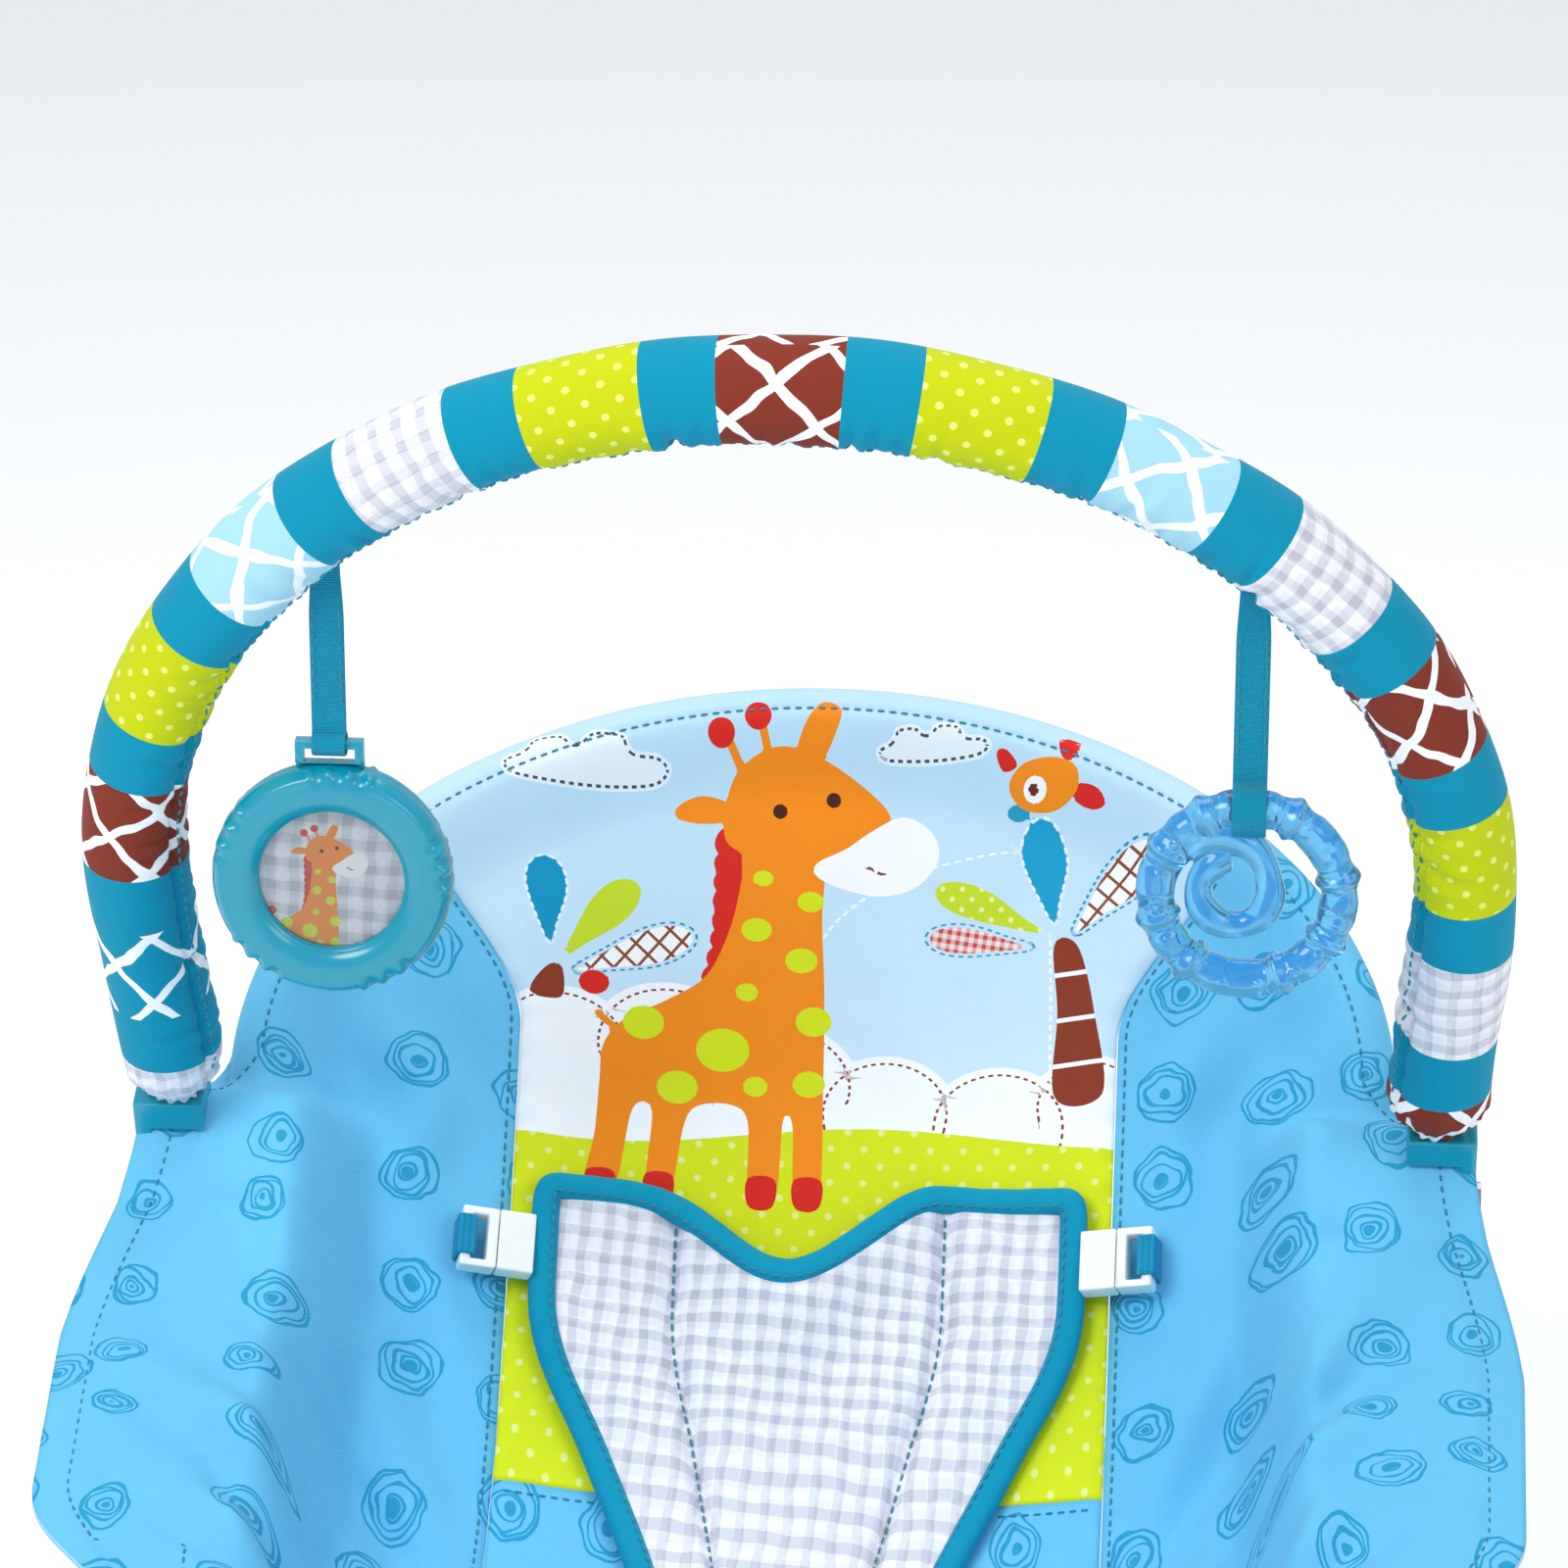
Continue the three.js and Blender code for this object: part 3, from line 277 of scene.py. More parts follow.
def steel_tube(name, line, body, node):
    """A tube with open ends along a line of points; it stands for its CAD node."""
    _, across, up = along_line(line)
    turns = np.linspace(0, 2 * math.pi, 24, endpoint=False)
    rings = []
    for radius in (TUBE_RADIUS, TUBE_RADIUS - TUBE_WALL):
        arms = np.cos(turns)[None, :, None] * across[:, None] + np.sin(turns)[None, :, None] * up[:, None]
        rings.append(line[:, None] + radius * arms)
    outside, inside = rings
    rows = np.concatenate([outside, inside[::-1]])
    piece = new_mesh(name, rows.reshape(-1, 3), ring_faces(len(rows), len(turns)))
    piece.data.materials.append(powder_coat)
    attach(piece, body)
    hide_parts(node)
    bpy.context.view_layer.objects.active = piece
    return piece


powder_coat, coat_tree = finish("powder_coat", "#E7E9EA", 0.34, Metallic=0.1, Coat_Weight=0.25)
coat_grain = speckle(coat_tree, 900, 2)
coat_wear = speckle(coat_tree, 22, 5)
lead(coat_tree, "Base Color", shaded(coat_tree, linear("#CDD2D5"), 0.93, 1.04, coat_wear))
lead(coat_tree, "Roughness", ranged(coat_tree, coat_wear, 0.28, 0.42))
embossed(coat_tree, coat_grain, 0.00006, 0.6)

rail_path = [
    (-FRAME_HALF_WIDTH, -FRONT_REACH, PIVOT_HEIGHT - TUBE_END_GAP / 2),
    (-FRAME_HALF_WIDTH, -FRONT_REACH, RAIL_HEIGHT),
    (-FRAME_HALF_WIDTH, REAR_REACH, RAIL_HEIGHT),
    (FRAME_HALF_WIDTH, REAR_REACH, RAIL_HEIGHT),
    (FRAME_HALF_WIDTH, -FRONT_REACH, RAIL_HEIGHT),
    (FRAME_HALF_WIDTH, -FRONT_REACH, PIVOT_HEIGHT - TUBE_END_GAP / 2),
]
steel_tube("floor_tube", rounded_line(rail_path, [FRONT_BEND, REAR_BEND, REAR_BEND, FRONT_BEND]), "base",
           "floor_frame")

SIDES = (("left", -1), ("right", 1))
riser_slope = math.atan2(HUB_HEIGHT - RISER_CORNER, HUB_SETBACK + FRONT_REACH)
for side, sign in SIDES:
    riser_x = sign * FRAME_HALF_WIDTH
    riser_path = [
        (riser_x, -FRONT_REACH, PIVOT_HEIGHT + TUBE_END_GAP / 2),
        (riser_x, -FRONT_REACH, RISER_CORNER),
        (
            riser_x,
            HUB_SETBACK - RISER_STOP * math.cos(riser_slope),
            HUB_HEIGHT - RISER_STOP * math.sin(riser_slope),
        ),
    ]
    steel_tube(f"riser_tube_{side}", rounded_line(riser_path, [RISER_BEND]), "seat", f"riser_{side}")

# ------------------------------------------------------------ the seat hoop
# The hoop lies in the fabric's side channels. It runs straight up the reclined back, bends at the hips
# and goes almost level to the foot end; both ends of the seat are half ellipses.
RECLINE = math.radians(42)
FOOT_RISE = math.radians(2)
SEAT_HALF_WIDTH = 205
HEAD_LENGTH = 190
HEAD_CURVE = 150
BEND_START = 270
SEAT_BEND = 120
BEND_END = BEND_START + SEAT_BEND * (RECLINE + FOOT_RISE)
HOOP_LENGTH = BEND_END + 168
FOOT_CURVE = 130


def side_line(s):
    """Place and sitter-side normal of the hoop's side, at distances from its head end."""
    s = np.asarray(s, float)
    slope = RECLINE - np.clip(s - BEND_START, 0, BEND_END - BEND_START) / SEAT_BEND
    back = np.minimum(s, BEND_START) - HEAD_LENGTH
    y = HUB_SETBACK - back * math.cos(RECLINE) - SEAT_BEND * (math.sin(RECLINE) - np.sin(slope))
    z = HUB_HEIGHT - back * math.sin(RECLINE) - SEAT_BEND * (np.cos(slope) - math.cos(RECLINE))
    foot = np.maximum(0, s - BEND_END)
    y = y - foot * math.cos(FOOT_RISE)
    z = z + foot * math.sin(FOOT_RISE)
    return y, z, -np.sin(slope), np.cos(slope)


def hoop_line(start, head, pitch=5.0):
    """Centre line of the hoop from one side to the other, round the head or the foot end."""
    curve = HEAD_CURVE if head else FOOT_CURVE
    turn_point = HEAD_CURVE if head else HOOP_LENGTH - FOOT_CURVE
    sense = -1 if head else 1
    inside = sense * (start - turn_point)
    count = max(1, math.ceil(max(0, -inside) / pitch))
    straight = [(SEAT_HALF_WIDTH, start + (turn_point - start) * i / count) for i in range(count)]
    if inside >= 0:
        straight = []
    first = math.asin(max(0, inside) / curve)
    turns = np.linspace(first, math.pi - first, 110)
    ends = [(SEAT_HALF_WIDTH * math.cos(t), turn_point + sense * curve * math.sin(t)) for t in turns]
    other = [(-x, s) for x, s in reversed(straight)]
    flat = np.array(straight + ends + other)
    y, z, _, _ = side_line(flat[:, 1])
    return np.column_stack([flat[:, 0], y, z]), flat


upper_line, _ = hoop_line(HEAD_LENGTH - HUB_TUBE_STOP, True)
lower_line, _ = hoop_line(HEAD_LENGTH + HUB_TUBE_STOP, False)
steel_tube("upper_hoop_tube", upper_line, "seat", "upper_hoop")
steel_tube("lower_hoop_tube", lower_line, "seat", "lower_hoop")

# ------------------------------------------------------------ the seat cover: its shape
# One slung cover of woven polyester: a printed back, two wings and a plain seat, sewn together along the
# wing seams. It goes over the hoop all round, and its wings reach out past the hubs and the risers.
COVER_HEM = 12.4
HEM_STITCH = 13
BUCKET_DEPTH = 65
BUCKET_SHAPE = 2.6
BUCKET_SLUMP = 1.2
WING_SEAM = 113
SEAM_HEAD = 38
SEAM_STRAIGHT = 118
SEAM_FOOT_START = 400
SEAM_FOOT = 476
COVER_SPLIT = 286
SHEET_THICKNESS = 2.2
RISER_ROOM = 5
HEAD_REACH = HEAD_CURVE + COVER_HEM
FOOT_REACH = FOOT_CURVE + COVER_HEM


def eased(value, start, end):
    """0 before start, 1 after end, and smooth between."""
    share = np.clip((np.asarray(value, float) - start) / (end - start), 0, 1)
    return share * share * (3 - 2 * share)


def wing_flare(s):
    """How far the wings reach out past the hoop, over the hubs and the risers."""
    out = 28 * eased(s, 146, 188) + 18 * eased(s, 180, 285)
    return out * (1 - eased(s, 372, 448))


def riser_height(s):
    """Height of the riser's centre line over the hoop's plane."""
    y, z, ny, nz = side_line(s)
    down = np.array([-math.cos(riser_slope), -math.sin(riser_slope)])
    run = ((y - HUB_SETBACK) * -nz + (z - HUB_HEIGHT) * ny) / (down[0] * -nz + down[1] * ny)
    return (HUB_SETBACK + run * down[0] - y) * ny + (HUB_HEIGHT + run * down[1] - z) * nz


def wing_height(s):
    """Height of the wings' outer part over the hoop's plane."""
    over_hub = COVER_HEM + 13 * eased(s, 158, 178) * (1 - eased(s, 210, 240))
    over_riser = TUBE_RADIUS + SHEET_THICKNESS + RISER_ROOM + riser_height(s) * eased(s, 190, 205)
    return np.maximum(over_hub, over_riser * eased(s, 176, 200))


def hoop_half(s):
    """Half width of the hoop's centre line."""
    s = np.asarray(s, float)
    head = np.maximum(0, HEAD_CURVE - s) / HEAD_CURVE
    foot = np.maximum(0, s - (HOOP_LENGTH - FOOT_CURVE)) / FOOT_CURVE
    return SEAT_HALF_WIDTH * np.sqrt(np.maximum(0, 1 - head**2 - foot**2))


def cover_half(s):
    """Half width of the cover's outline."""
    s = np.asarray(s, float)
    head = np.maximum(0, HEAD_CURVE - s) / HEAD_REACH
    foot = np.maximum(0, s - (HOOP_LENGTH - FOOT_CURVE)) / FOOT_REACH
    round_half = (SEAT_HALF_WIDTH + COVER_HEM) * np.sqrt(np.maximum(0, 1 - head**2 - foot**2))
    return round_half + wing_flare(s)


def seam_half(s):
    """Half width at the wing seams, which meet the outline at both of their ends."""
    head = 1 - eased(s, SEAM_HEAD, SEAM_STRAIGHT)
    foot = eased(s, SEAM_FOOT_START, SEAM_FOOT)
    share = np.maximum(head, foot)
    start = np.where(np.asarray(s) < HEAD_CURVE, cover_half(SEAM_HEAD), cover_half(SEAM_FOOT))
    return WING_SEAM + (start - WING_SEAM) * share


def edge_distance(x, s):
    """Distance from the hem's outer side inwards, without the wings' flare."""
    x = np.maximum(np.abs(x), 0.5)
    head = np.maximum(0, HEAD_CURVE - s) / HEAD_REACH
    foot = np.maximum(0, s - (HOOP_LENGTH - FOOT_CURVE)) / FOOT_REACH
    wide = SEAT_HALF_WIDTH + COVER_HEM
    radial = np.sqrt((x / wide) ** 2 + head**2 + foot**2)
    slope = np.sqrt((x / wide**2) ** 2 + (head / HEAD_REACH) ** 2 + (foot / FOOT_REACH) ** 2)
    return (1 - radial) * radial / slope


def fold_height(x, s):
    """Soft slanting folds in the wings, and a slack waist crease across the back."""
    inside = cover_half(s) - np.abs(x)
    across = np.abs(x) - seam_half(s)
    room = eased(across, 2, 34) * eased(inside, 6, 46) * eased(s, 96, 150) * (1 - eased(s, 420, 470))
    lean = s - 1.15 * inside + np.where(x < 0, 0, 17)
    wave = 3.6 * np.sin(lean / 9.5 + 1.6 * np.sin(s / 61)) + 2.2 * np.sin(lean / 13.7 + 0.9 + x / 40)
    over_hub = np.exp(-(((s - 192) / 26) ** 2)) * eased(np.abs(x), 172, 194)
    over_riser = eased(np.abs(x), 196, 214) * eased(s, 190, 220)
    at_buckle = np.exp(-(((s - 206) / 24) ** 2)) * np.exp(-(((np.abs(x) - 138) / 26) ** 2))
    room = room * (1 - 0.85 * over_hub) * (1 - 0.6 * over_riser) * (1 - 0.9 * at_buckle)
    ridge = 2.0 * np.exp(-(((s - 232 - 0.55 * inside + 10 * np.sin(inside / 30)) / 7.5) ** 2)) * room
    crinkle = np.sin(x / 5.6 + 2.1 * np.sin(s / 19)) * np.sin(s / 7.9 + 1.7 * np.sin(x / 23))
    gap = np.abs(across)
    pulled = 0.5 + 0.5 * np.sin(s / 2.3 + 1.3 * np.sin(s / 21) + 0.1 * x)
    pulls = 0.75 * pulled * np.exp(-((gap / 6.5) ** 2)) * eased(s, 60, 90) * (1 - eased(s, 430, 460))
    soft = 0.9 * np.sin(s / 27 + 0.7) * np.cos(x / 47) * eased(seam_half(s) - np.abs(x), 4, 40)
    return room * (wave + 0.5 * crinkle) + 1.5 * ridge - pulls + soft * (1 - eased(s, 150, 190))


def cover_point(x, s, under=0.0):
    """Points of the cover's upper face, or as far under it as given, in millimetres."""
    x = np.asarray(x, float)
    s = np.asarray(s, float)
    y, z, ny, nz = side_line(s)
    slump = BUCKET_DEPTH * np.sin(np.pi * np.clip(s / HOOP_LENGTH, 0, 1) ** BUCKET_SLUMP)
    across = np.minimum(1, np.abs(x) / np.maximum(1, hoop_half(s)))
    sunk = slump * (1 - across**BUCKET_SHAPE)
    inside = edge_distance(x, s)
    past = COVER_HEM - inside
    wrap = np.sqrt(np.maximum(0, COVER_HEM**2 - np.clip(past, 0, COVER_HEM) ** 2))
    top = COVER_HEM * (1 - eased(inside, COVER_HEM, 44))
    flap_share = eased(s, 156, 172) * (1 - eased(s, 420, 456))
    outer = eased(past, -46, -14)
    droop = 7 * eased(past, 34, 66)
    flap = top * (1 - outer) + (wing_height(s) + sunk) * outer - droop
    rim = np.where(past > 0, wrap, top)
    lift = rim * (1 - flap_share) + flap * flap_share
    seam_gap = np.abs(np.abs(x) - seam_half(s))
    groove = 1.7 * np.exp(-((seam_gap / 2.6) ** 2)) * eased(s, SEAM_HEAD, SEAM_HEAD + 8)
    groove = groove * (1 - eased(s, SEAM_FOOT - 8, SEAM_FOOT))
    hem_line = np.abs(inside + wing_flare(s) - HEM_STITCH)
    groove = groove + 0.9 * np.exp(-((hem_line / 1.6) ** 2))
    depth = sunk - lift - fold_height(x, s) + groove + under
    return np.stack([x + 0 * s, y - ny * depth, z - nz * depth], axis=-1)


def sheet_piece(name, rows, left, right, columns, materials):
    """A sheet of two layers between two edges; UV is the flat pattern's place, in metres."""
    rows = np.asarray(rows, float)
    share = np.linspace(0, 1, columns + 1)
    s_grid = np.repeat(rows[:, None], columns + 1, 1)
    x_grid = left(rows)[:, None] * (1 - share) + right(rows)[:, None] * share
    upper = cover_point(x_grid, s_grid)
    lower = cover_point(x_grid, s_grid, SHEET_THICKNESS)
    points = np.concatenate([upper.reshape(-1, 3), lower.reshape(-1, 3)])
    wide = columns + 1
    index = np.arange(len(rows) * wide).reshape(len(rows), wide)
    under = index + index.size
    quads = [np.stack([index[:-1, :-1], index[1:, :-1], index[1:, 1:], index[:-1, 1:]], -1).reshape(-1, 4)]
    low_quads = np.stack([under[:-1, :-1], under[:-1, 1:], under[1:, 1:], under[1:, :-1]], -1)
    quads.append(low_quads.reshape(-1, 4))
    rims = [(index[:, 0], under[:, 0]), (under[:, -1], index[:, -1]), (under[0], index[0]),
            (index[-1], under[-1])]
    for top, low in rims:
        quads.append(np.stack([top[:-1], low[:-1], low[1:], top[1:]], -1))
    faces = np.concatenate(quads)
    mesh = bpy.data.meshes.new(name)
    mesh.from_pydata((points * MM).tolist(), [], faces.tolist())
    plan = np.stack([x_grid, HEAD_LENGTH - s_grid], -1).reshape(-1, 2)
    plan = np.concatenate([plan, plan]) * MM
    layer = mesh.uv_layers.new(name="cloth")
    corner = np.empty(len(mesh.loops), int)
    mesh.loops.foreach_get("vertex_index", corner)
    layer.data.foreach_set("uv", plan[corner].astype(np.float32).ravel())
    for material in materials:
        mesh.materials.append(material)
    face_count = (len(rows) - 1) * columns
    slots = np.zeros(len(mesh.polygons), int)
    slots[face_count:] = len(materials) - 1
    mesh.polygons.foreach_set("material_index", slots)
    mesh.polygons.foreach_set("use_smooth", [True] * len(mesh.polygons))
    body = bmesh.new()
    body.from_mesh(mesh)
    bmesh.ops.remove_doubles(body, verts=body.verts, dist=2e-6)
    bmesh.ops.recalc_face_normals(body, faces=body.faces)
    body.to_mesh(mesh)
    body.free()
    piece = bpy.data.objects.new(name, mesh)
    bpy.context.collection.objects.link(piece)
    return piece


# ------------------------------------------------------------ the seat cover: its cloth
# The cloth is a fine plain weave with a soft sheen. The wings are sky blue with scribbled rings in a
# darker teal; the underside of every panel is the same cloth, unprinted.
WEAVE = 0.0013
SCRIBBLES_PER_METRE = 25.0


def cloth_place(tree):
    """A place in the flat pattern, in metres."""
    return put(tree, "TexCoord", {}, output=2)


def weave_height(tree, place, pitch=WEAVE):
    """Threads that pass over and under each other."""
    along = put(tree, "SeparateXYZ", {0: place})
    across = along.node.outputs[1]
    turn = 2 * math.pi / pitch
    first = maths(tree, "SINE", maths(tree, "MULTIPLY", along, turn))
    second = maths(tree, "SINE", maths(tree, "MULTIPLY", across, turn))
    return maths(tree, "MULTIPLY", first, second)


def woven(name, colour, roughness=0.8, sheen=0.07, paint=None, depth=0.00006):
    """Cloth: a base colour or painted pattern, threads, and slight unevenness."""
    material, tree = finish(name, colour, roughness, Sheen_Weight=sheen, Sheen_Roughness=0.45,
                            Specular_IOR_Level=0.16)
    place = cloth_place(tree)
    uneven = speckle(tree, 38, 4)
    base = linear(colour)
    shade = paint(tree, place) if paint else None
    if shade is None:
        shade = shaded(tree, base, 0.93, 1.05, uneven)
    else:
        grey = ranged(tree, uneven, 0.94, 1.04)
        shade = mixed(tree, 1.0, shade, put(tree, "CombineColor", {0: grey, 1: grey, 2: grey}), "MULTIPLY")
    threads = weave_height(tree, place)
    half_wave = put(tree, "Math", {0: threads, 1: 0.5, 2: 0.5}, operation="MULTIPLY_ADD")
    thread_shade = ranged(tree, half_wave, 0.965, 1.02)
    tone = put(tree, "CombineColor", {0: thread_shade, 1: thread_shade, 2: thread_shade})
    lead(tree, "Base Color", mixed(tree, 1.0, shade, tone, "MULTIPLY"))
    lead(tree, "Roughness", ranged(tree, uneven, roughness - 0.06, roughness + 0.08))
    fine = speckle(tree, 420, 2)
    creases = speckle(tree, 26, 5, 0.6)
    height = maths(tree, "ADD", maths(tree, "MULTIPLY", threads, 0.5), maths(tree, "MULTIPLY", fine, 0.6))
    height = maths(tree, "ADD", height, maths(tree, "MULTIPLY", creases, 14.0))
    embossed(tree, height, depth, 1.0)
    return material


def scribbles(tree, place):
    """Scribbled rings, as if drawn with a felt pen: several wobbling circles about each centre."""
    base = linear("#69C1EA")
    ink = linear("#1595C2")
    wobble = put(tree, "TexNoise", {"Vector": place, "Scale": 95.0, "Detail": 1.0}, output=1)
    shift = put(tree, "VectorMath", {0: wobble, 1: (0.5, 0.5, 0.5)}, operation="SUBTRACT")
    shift = put(tree, "VectorMath", {0: shift, "Scale": 0.006}, operation="SCALE")
    moved = put(tree, "VectorMath", {0: place, 1: shift}, operation="ADD")
    spread = {"Vector": moved, "Scale": SCRIBBLES_PER_METRE, "Randomness": 0.45}
    cells = put(tree, "TexVoronoi", spread, voronoi_dimensions="2D")
    size = put(tree, "TexVoronoi", spread, output=1, voronoi_dimensions="2D")
    red = put(tree, "SeparateColor", {0: size})
    ink_share = None
    for reach, wide, turn in ((0.28, 0.013, 0.0), (0.23, 0.012, 2.1), (0.16, 0.013, 4.0), (0.08, 0.013, 1.0)):
        tilt = put(tree, "VectorMath", {0: moved, 1: (0.7, 0.9, 1.0)}, operation="MULTIPLY")
        sway = put(tree, "TexNoise", {"Vector": tilt, "Scale": 60.0 + 9 * turn, "Detail": 0.0, "W": turn},
                   noise_dimensions="4D")
        sway = maths(tree, "MULTIPLY", maths(tree, "SUBTRACT", sway, 0.5), 0.16)
        scale = ranged(tree, red, 0.72 * reach, 1.06 * reach)
        away = maths(tree, "ADD", maths(tree, "SUBTRACT", cells, scale), sway)
        line = maths(tree, "LESS_THAN", maths(tree, "ABSOLUTE", away), wide)
        ink_share = line if ink_share is None else maths(tree, "MAXIMUM", ink_share, line)
    fill = maths(tree, "LESS_THAN", cells, ranged(tree, red, 0.02, 0.07))
    ink_share = maths(tree, "MULTIPLY", maths(tree, "MAXIMUM", ink_share, fill), 0.88)
    return mixed(tree, ink_share, base, ink)


wing_cloth = woven("wing_cloth", "#69C1EA", paint=scribbles)
lining_cloth = woven("lining_cloth", "#9AD6EE")

# ------------------------------------------------------------ the seat cover: the printed back
# The back is printed with a cheerful meadow: a giraffe, clouds, hills, leaves, a palm and a small bird.
# Each motif is an outline in the flat panel, X across and V up the back from the hubs, in millimetres.
BACK_PITCH = 1.75
DASH_ROOM = 3.4


def closed_curve(points, steps=7):
    """A smooth closed outline through points."""
    points = np.array(points, float)
    before, after, beyond = np.roll(points, 1, 0), np.roll(points, -1, 0), np.roll(points, -2, 0)
    t = (np.arange(steps) / steps)[None, :, None]
    p0, p1, p2, p3 = before[:, None], points[:, None], after[:, None], beyond[:, None]
    curve = 2 * p1 + (p2 - p0) * t + (2 * p0 - 5 * p1 + 4 * p2 - p3) * t**2
    curve = curve + (3 * p1 - p0 - 3 * p2 + p3) * t**3
    return (curve / 2).reshape(-1, 2)


def open_curve(points, steps=8):
    """A smooth open line through points."""
    ends = [tuple(2 * np.array(points[0]) - np.array(points[1])), *points,
            tuple(2 * np.array(points[-1]) - np.array(points[-2]))]
    curve = closed_curve(ends, steps)
    return curve[steps : steps * len(points) - steps + 1]


def turned(points, place, angle=0.0, scale=1.0):
    """Outline points moved to a place in the panel."""
    c, s = math.cos(math.radians(angle)), math.sin(math.radians(angle))
    return [(place[0] + scale * (c * x - s * y), place[1] + scale * (s * x + c * y)) for x, y in points]


def line_distance(path, spots, closed=False):
    """Distance from spots to a line, how far along it the nearest place is, and the side."""
    ends = np.roll(path, -1, 0) if closed else path[1:]
    starts = path if closed else path[:-1]
    best = np.full(len(spots), 1e9)
    along = np.zeros(len(spots))
    side = np.ones(len(spots))
    inside = np.zeros(len(spots), bool)
    run = 0.0
    for a, b in zip(starts, ends):
        edge = b - a
        length = float(np.hypot(*edge))
        if length < 1e-9:
            continue
        away = spots - a
        share = np.clip(away @ edge / length**2, 0, 1)
        gap = np.hypot(away[:, 0] - share * edge[0], away[:, 1] - share * edge[1])
        nearer = gap < best
        best = np.where(nearer, gap, best)
        along = np.where(nearer, run + share * length, along)
        side = np.where(nearer, np.sign(edge[0] * away[:, 1] - edge[1] * away[:, 0]), side)
        crosses = (a[1] > spots[:, 1]) != (b[1] > spots[:, 1])
        if edge[1]:
            meet = a[0] + (spots[:, 1] - a[1]) * edge[0] / edge[1]
            inside ^= crosses & (spots[:, 0] < meet)
        run += length
    return best, along, (np.where(inside, -1, 1) if closed else side)


class Layer:
    """One layer of the print: how far each spot lies outside its nearest motif, and that motif's ink."""

    def __init__(self, spots):
        """Starts with no motif near any spot."""
        self.spots = spots
        self.away = np.full(len(spots), 60.0)
        self.along = np.zeros(len(spots))
        self.kind = np.zeros(len(spots))
        self.ink = np.ones((len(spots), 4))

    def near(self, path, margin):
        """The spots in the box round a path."""
        low, high = path.min(0) - margin, path.max(0) + margin
        return np.where(((self.spots >= low) & (self.spots <= high)).all(1))[0]

    def put(self, index, away, along, ink, kind):
        """Keeps the nearer motif; dashed lines count from both of their sides."""
        nearer = np.abs(away) < np.abs(self.away[index]) if kind < 0 else away < self.away[index]
        chosen = index[nearer]
        self.away[chosen] = away[nearer]
        self.along[chosen] = along[nearer]
        self.kind[chosen] = kind
        self.ink[chosen] = linear(ink)

    def shape(self, points, ink, kind=0, smooth=True):
        """A filled outline."""
        path = closed_curve(points) if smooth else np.array(points, float)
        index = self.near(path, 14)
        gap, along, sense = line_distance(path, self.spots[index], closed=True)
        self.put(index, gap * sense, along, ink, kind)

    def disc(self, place, radius, ink, kind=0, stretch=1.0):
        """A filled circle, or an upright oval."""
        index = self.near(np.array([place]), 3 * radius + 14)
        away = self.spots[index] - place
        gap = np.hypot(away[:, 0] / stretch, away[:, 1]) - radius
        self.put(index, gap, np.arctan2(away[:, 1], away[:, 0]) * radius, ink, kind)

    def limb(self, points, half, ink, kind=0):
        """A thick line."""
        path = open_curve(points) if len(points) > 2 else np.array(points, float)
        index = self.near(path, half + 14)
        gap, along, _ = line_distance(path, self.spots[index])
        self.put(index, gap - half, along, ink, kind)

    def stitches(self, path, ink, closed=False, inset=0.0):
        """A dashed line."""
        index = self.near(path, 6)
        gap, along, sense = line_distance(path, self.spots[index], closed)
        away = gap * sense + inset
        nearer = np.abs(away) < np.abs(self.away[index])
        self.put(index, away, along, ink, -1)
        self.kind[index[nearer]] = gap[nearer] < DASH_ROOM


CLOUD = [(-30, -6), (-33, 1), (-25, 5), (-21, 11), (-10, 12), (-4, 8), (3, 13), (15, 12), (19, 6), (29, 5),
         (34, 0), (28, -6), (10, -8), (-12, -8)]
LEAF = [(0, 0), (3.5, 12), (8.5, 28), (8.5, 40), (4.5, 48), (-1.5, 49), (-6.5, 43), (-7.5, 32), (-4.5, 16)]
HILLS = [(-99, 36, 30), (-58, 42, 29), (-14, 24, 30), (26, 13, 27), (69, 7, 28), (104, 16, 24)]
ORANGE, RED, LIME, BROWN, TEAL = "#F98E1C", "#DC2A22", "#D8E41F", "#8E3B24", "#0A94BE"
LEAF_LIME, LEAF_TEAL = "#C6DC2E", "#1B9FCB"


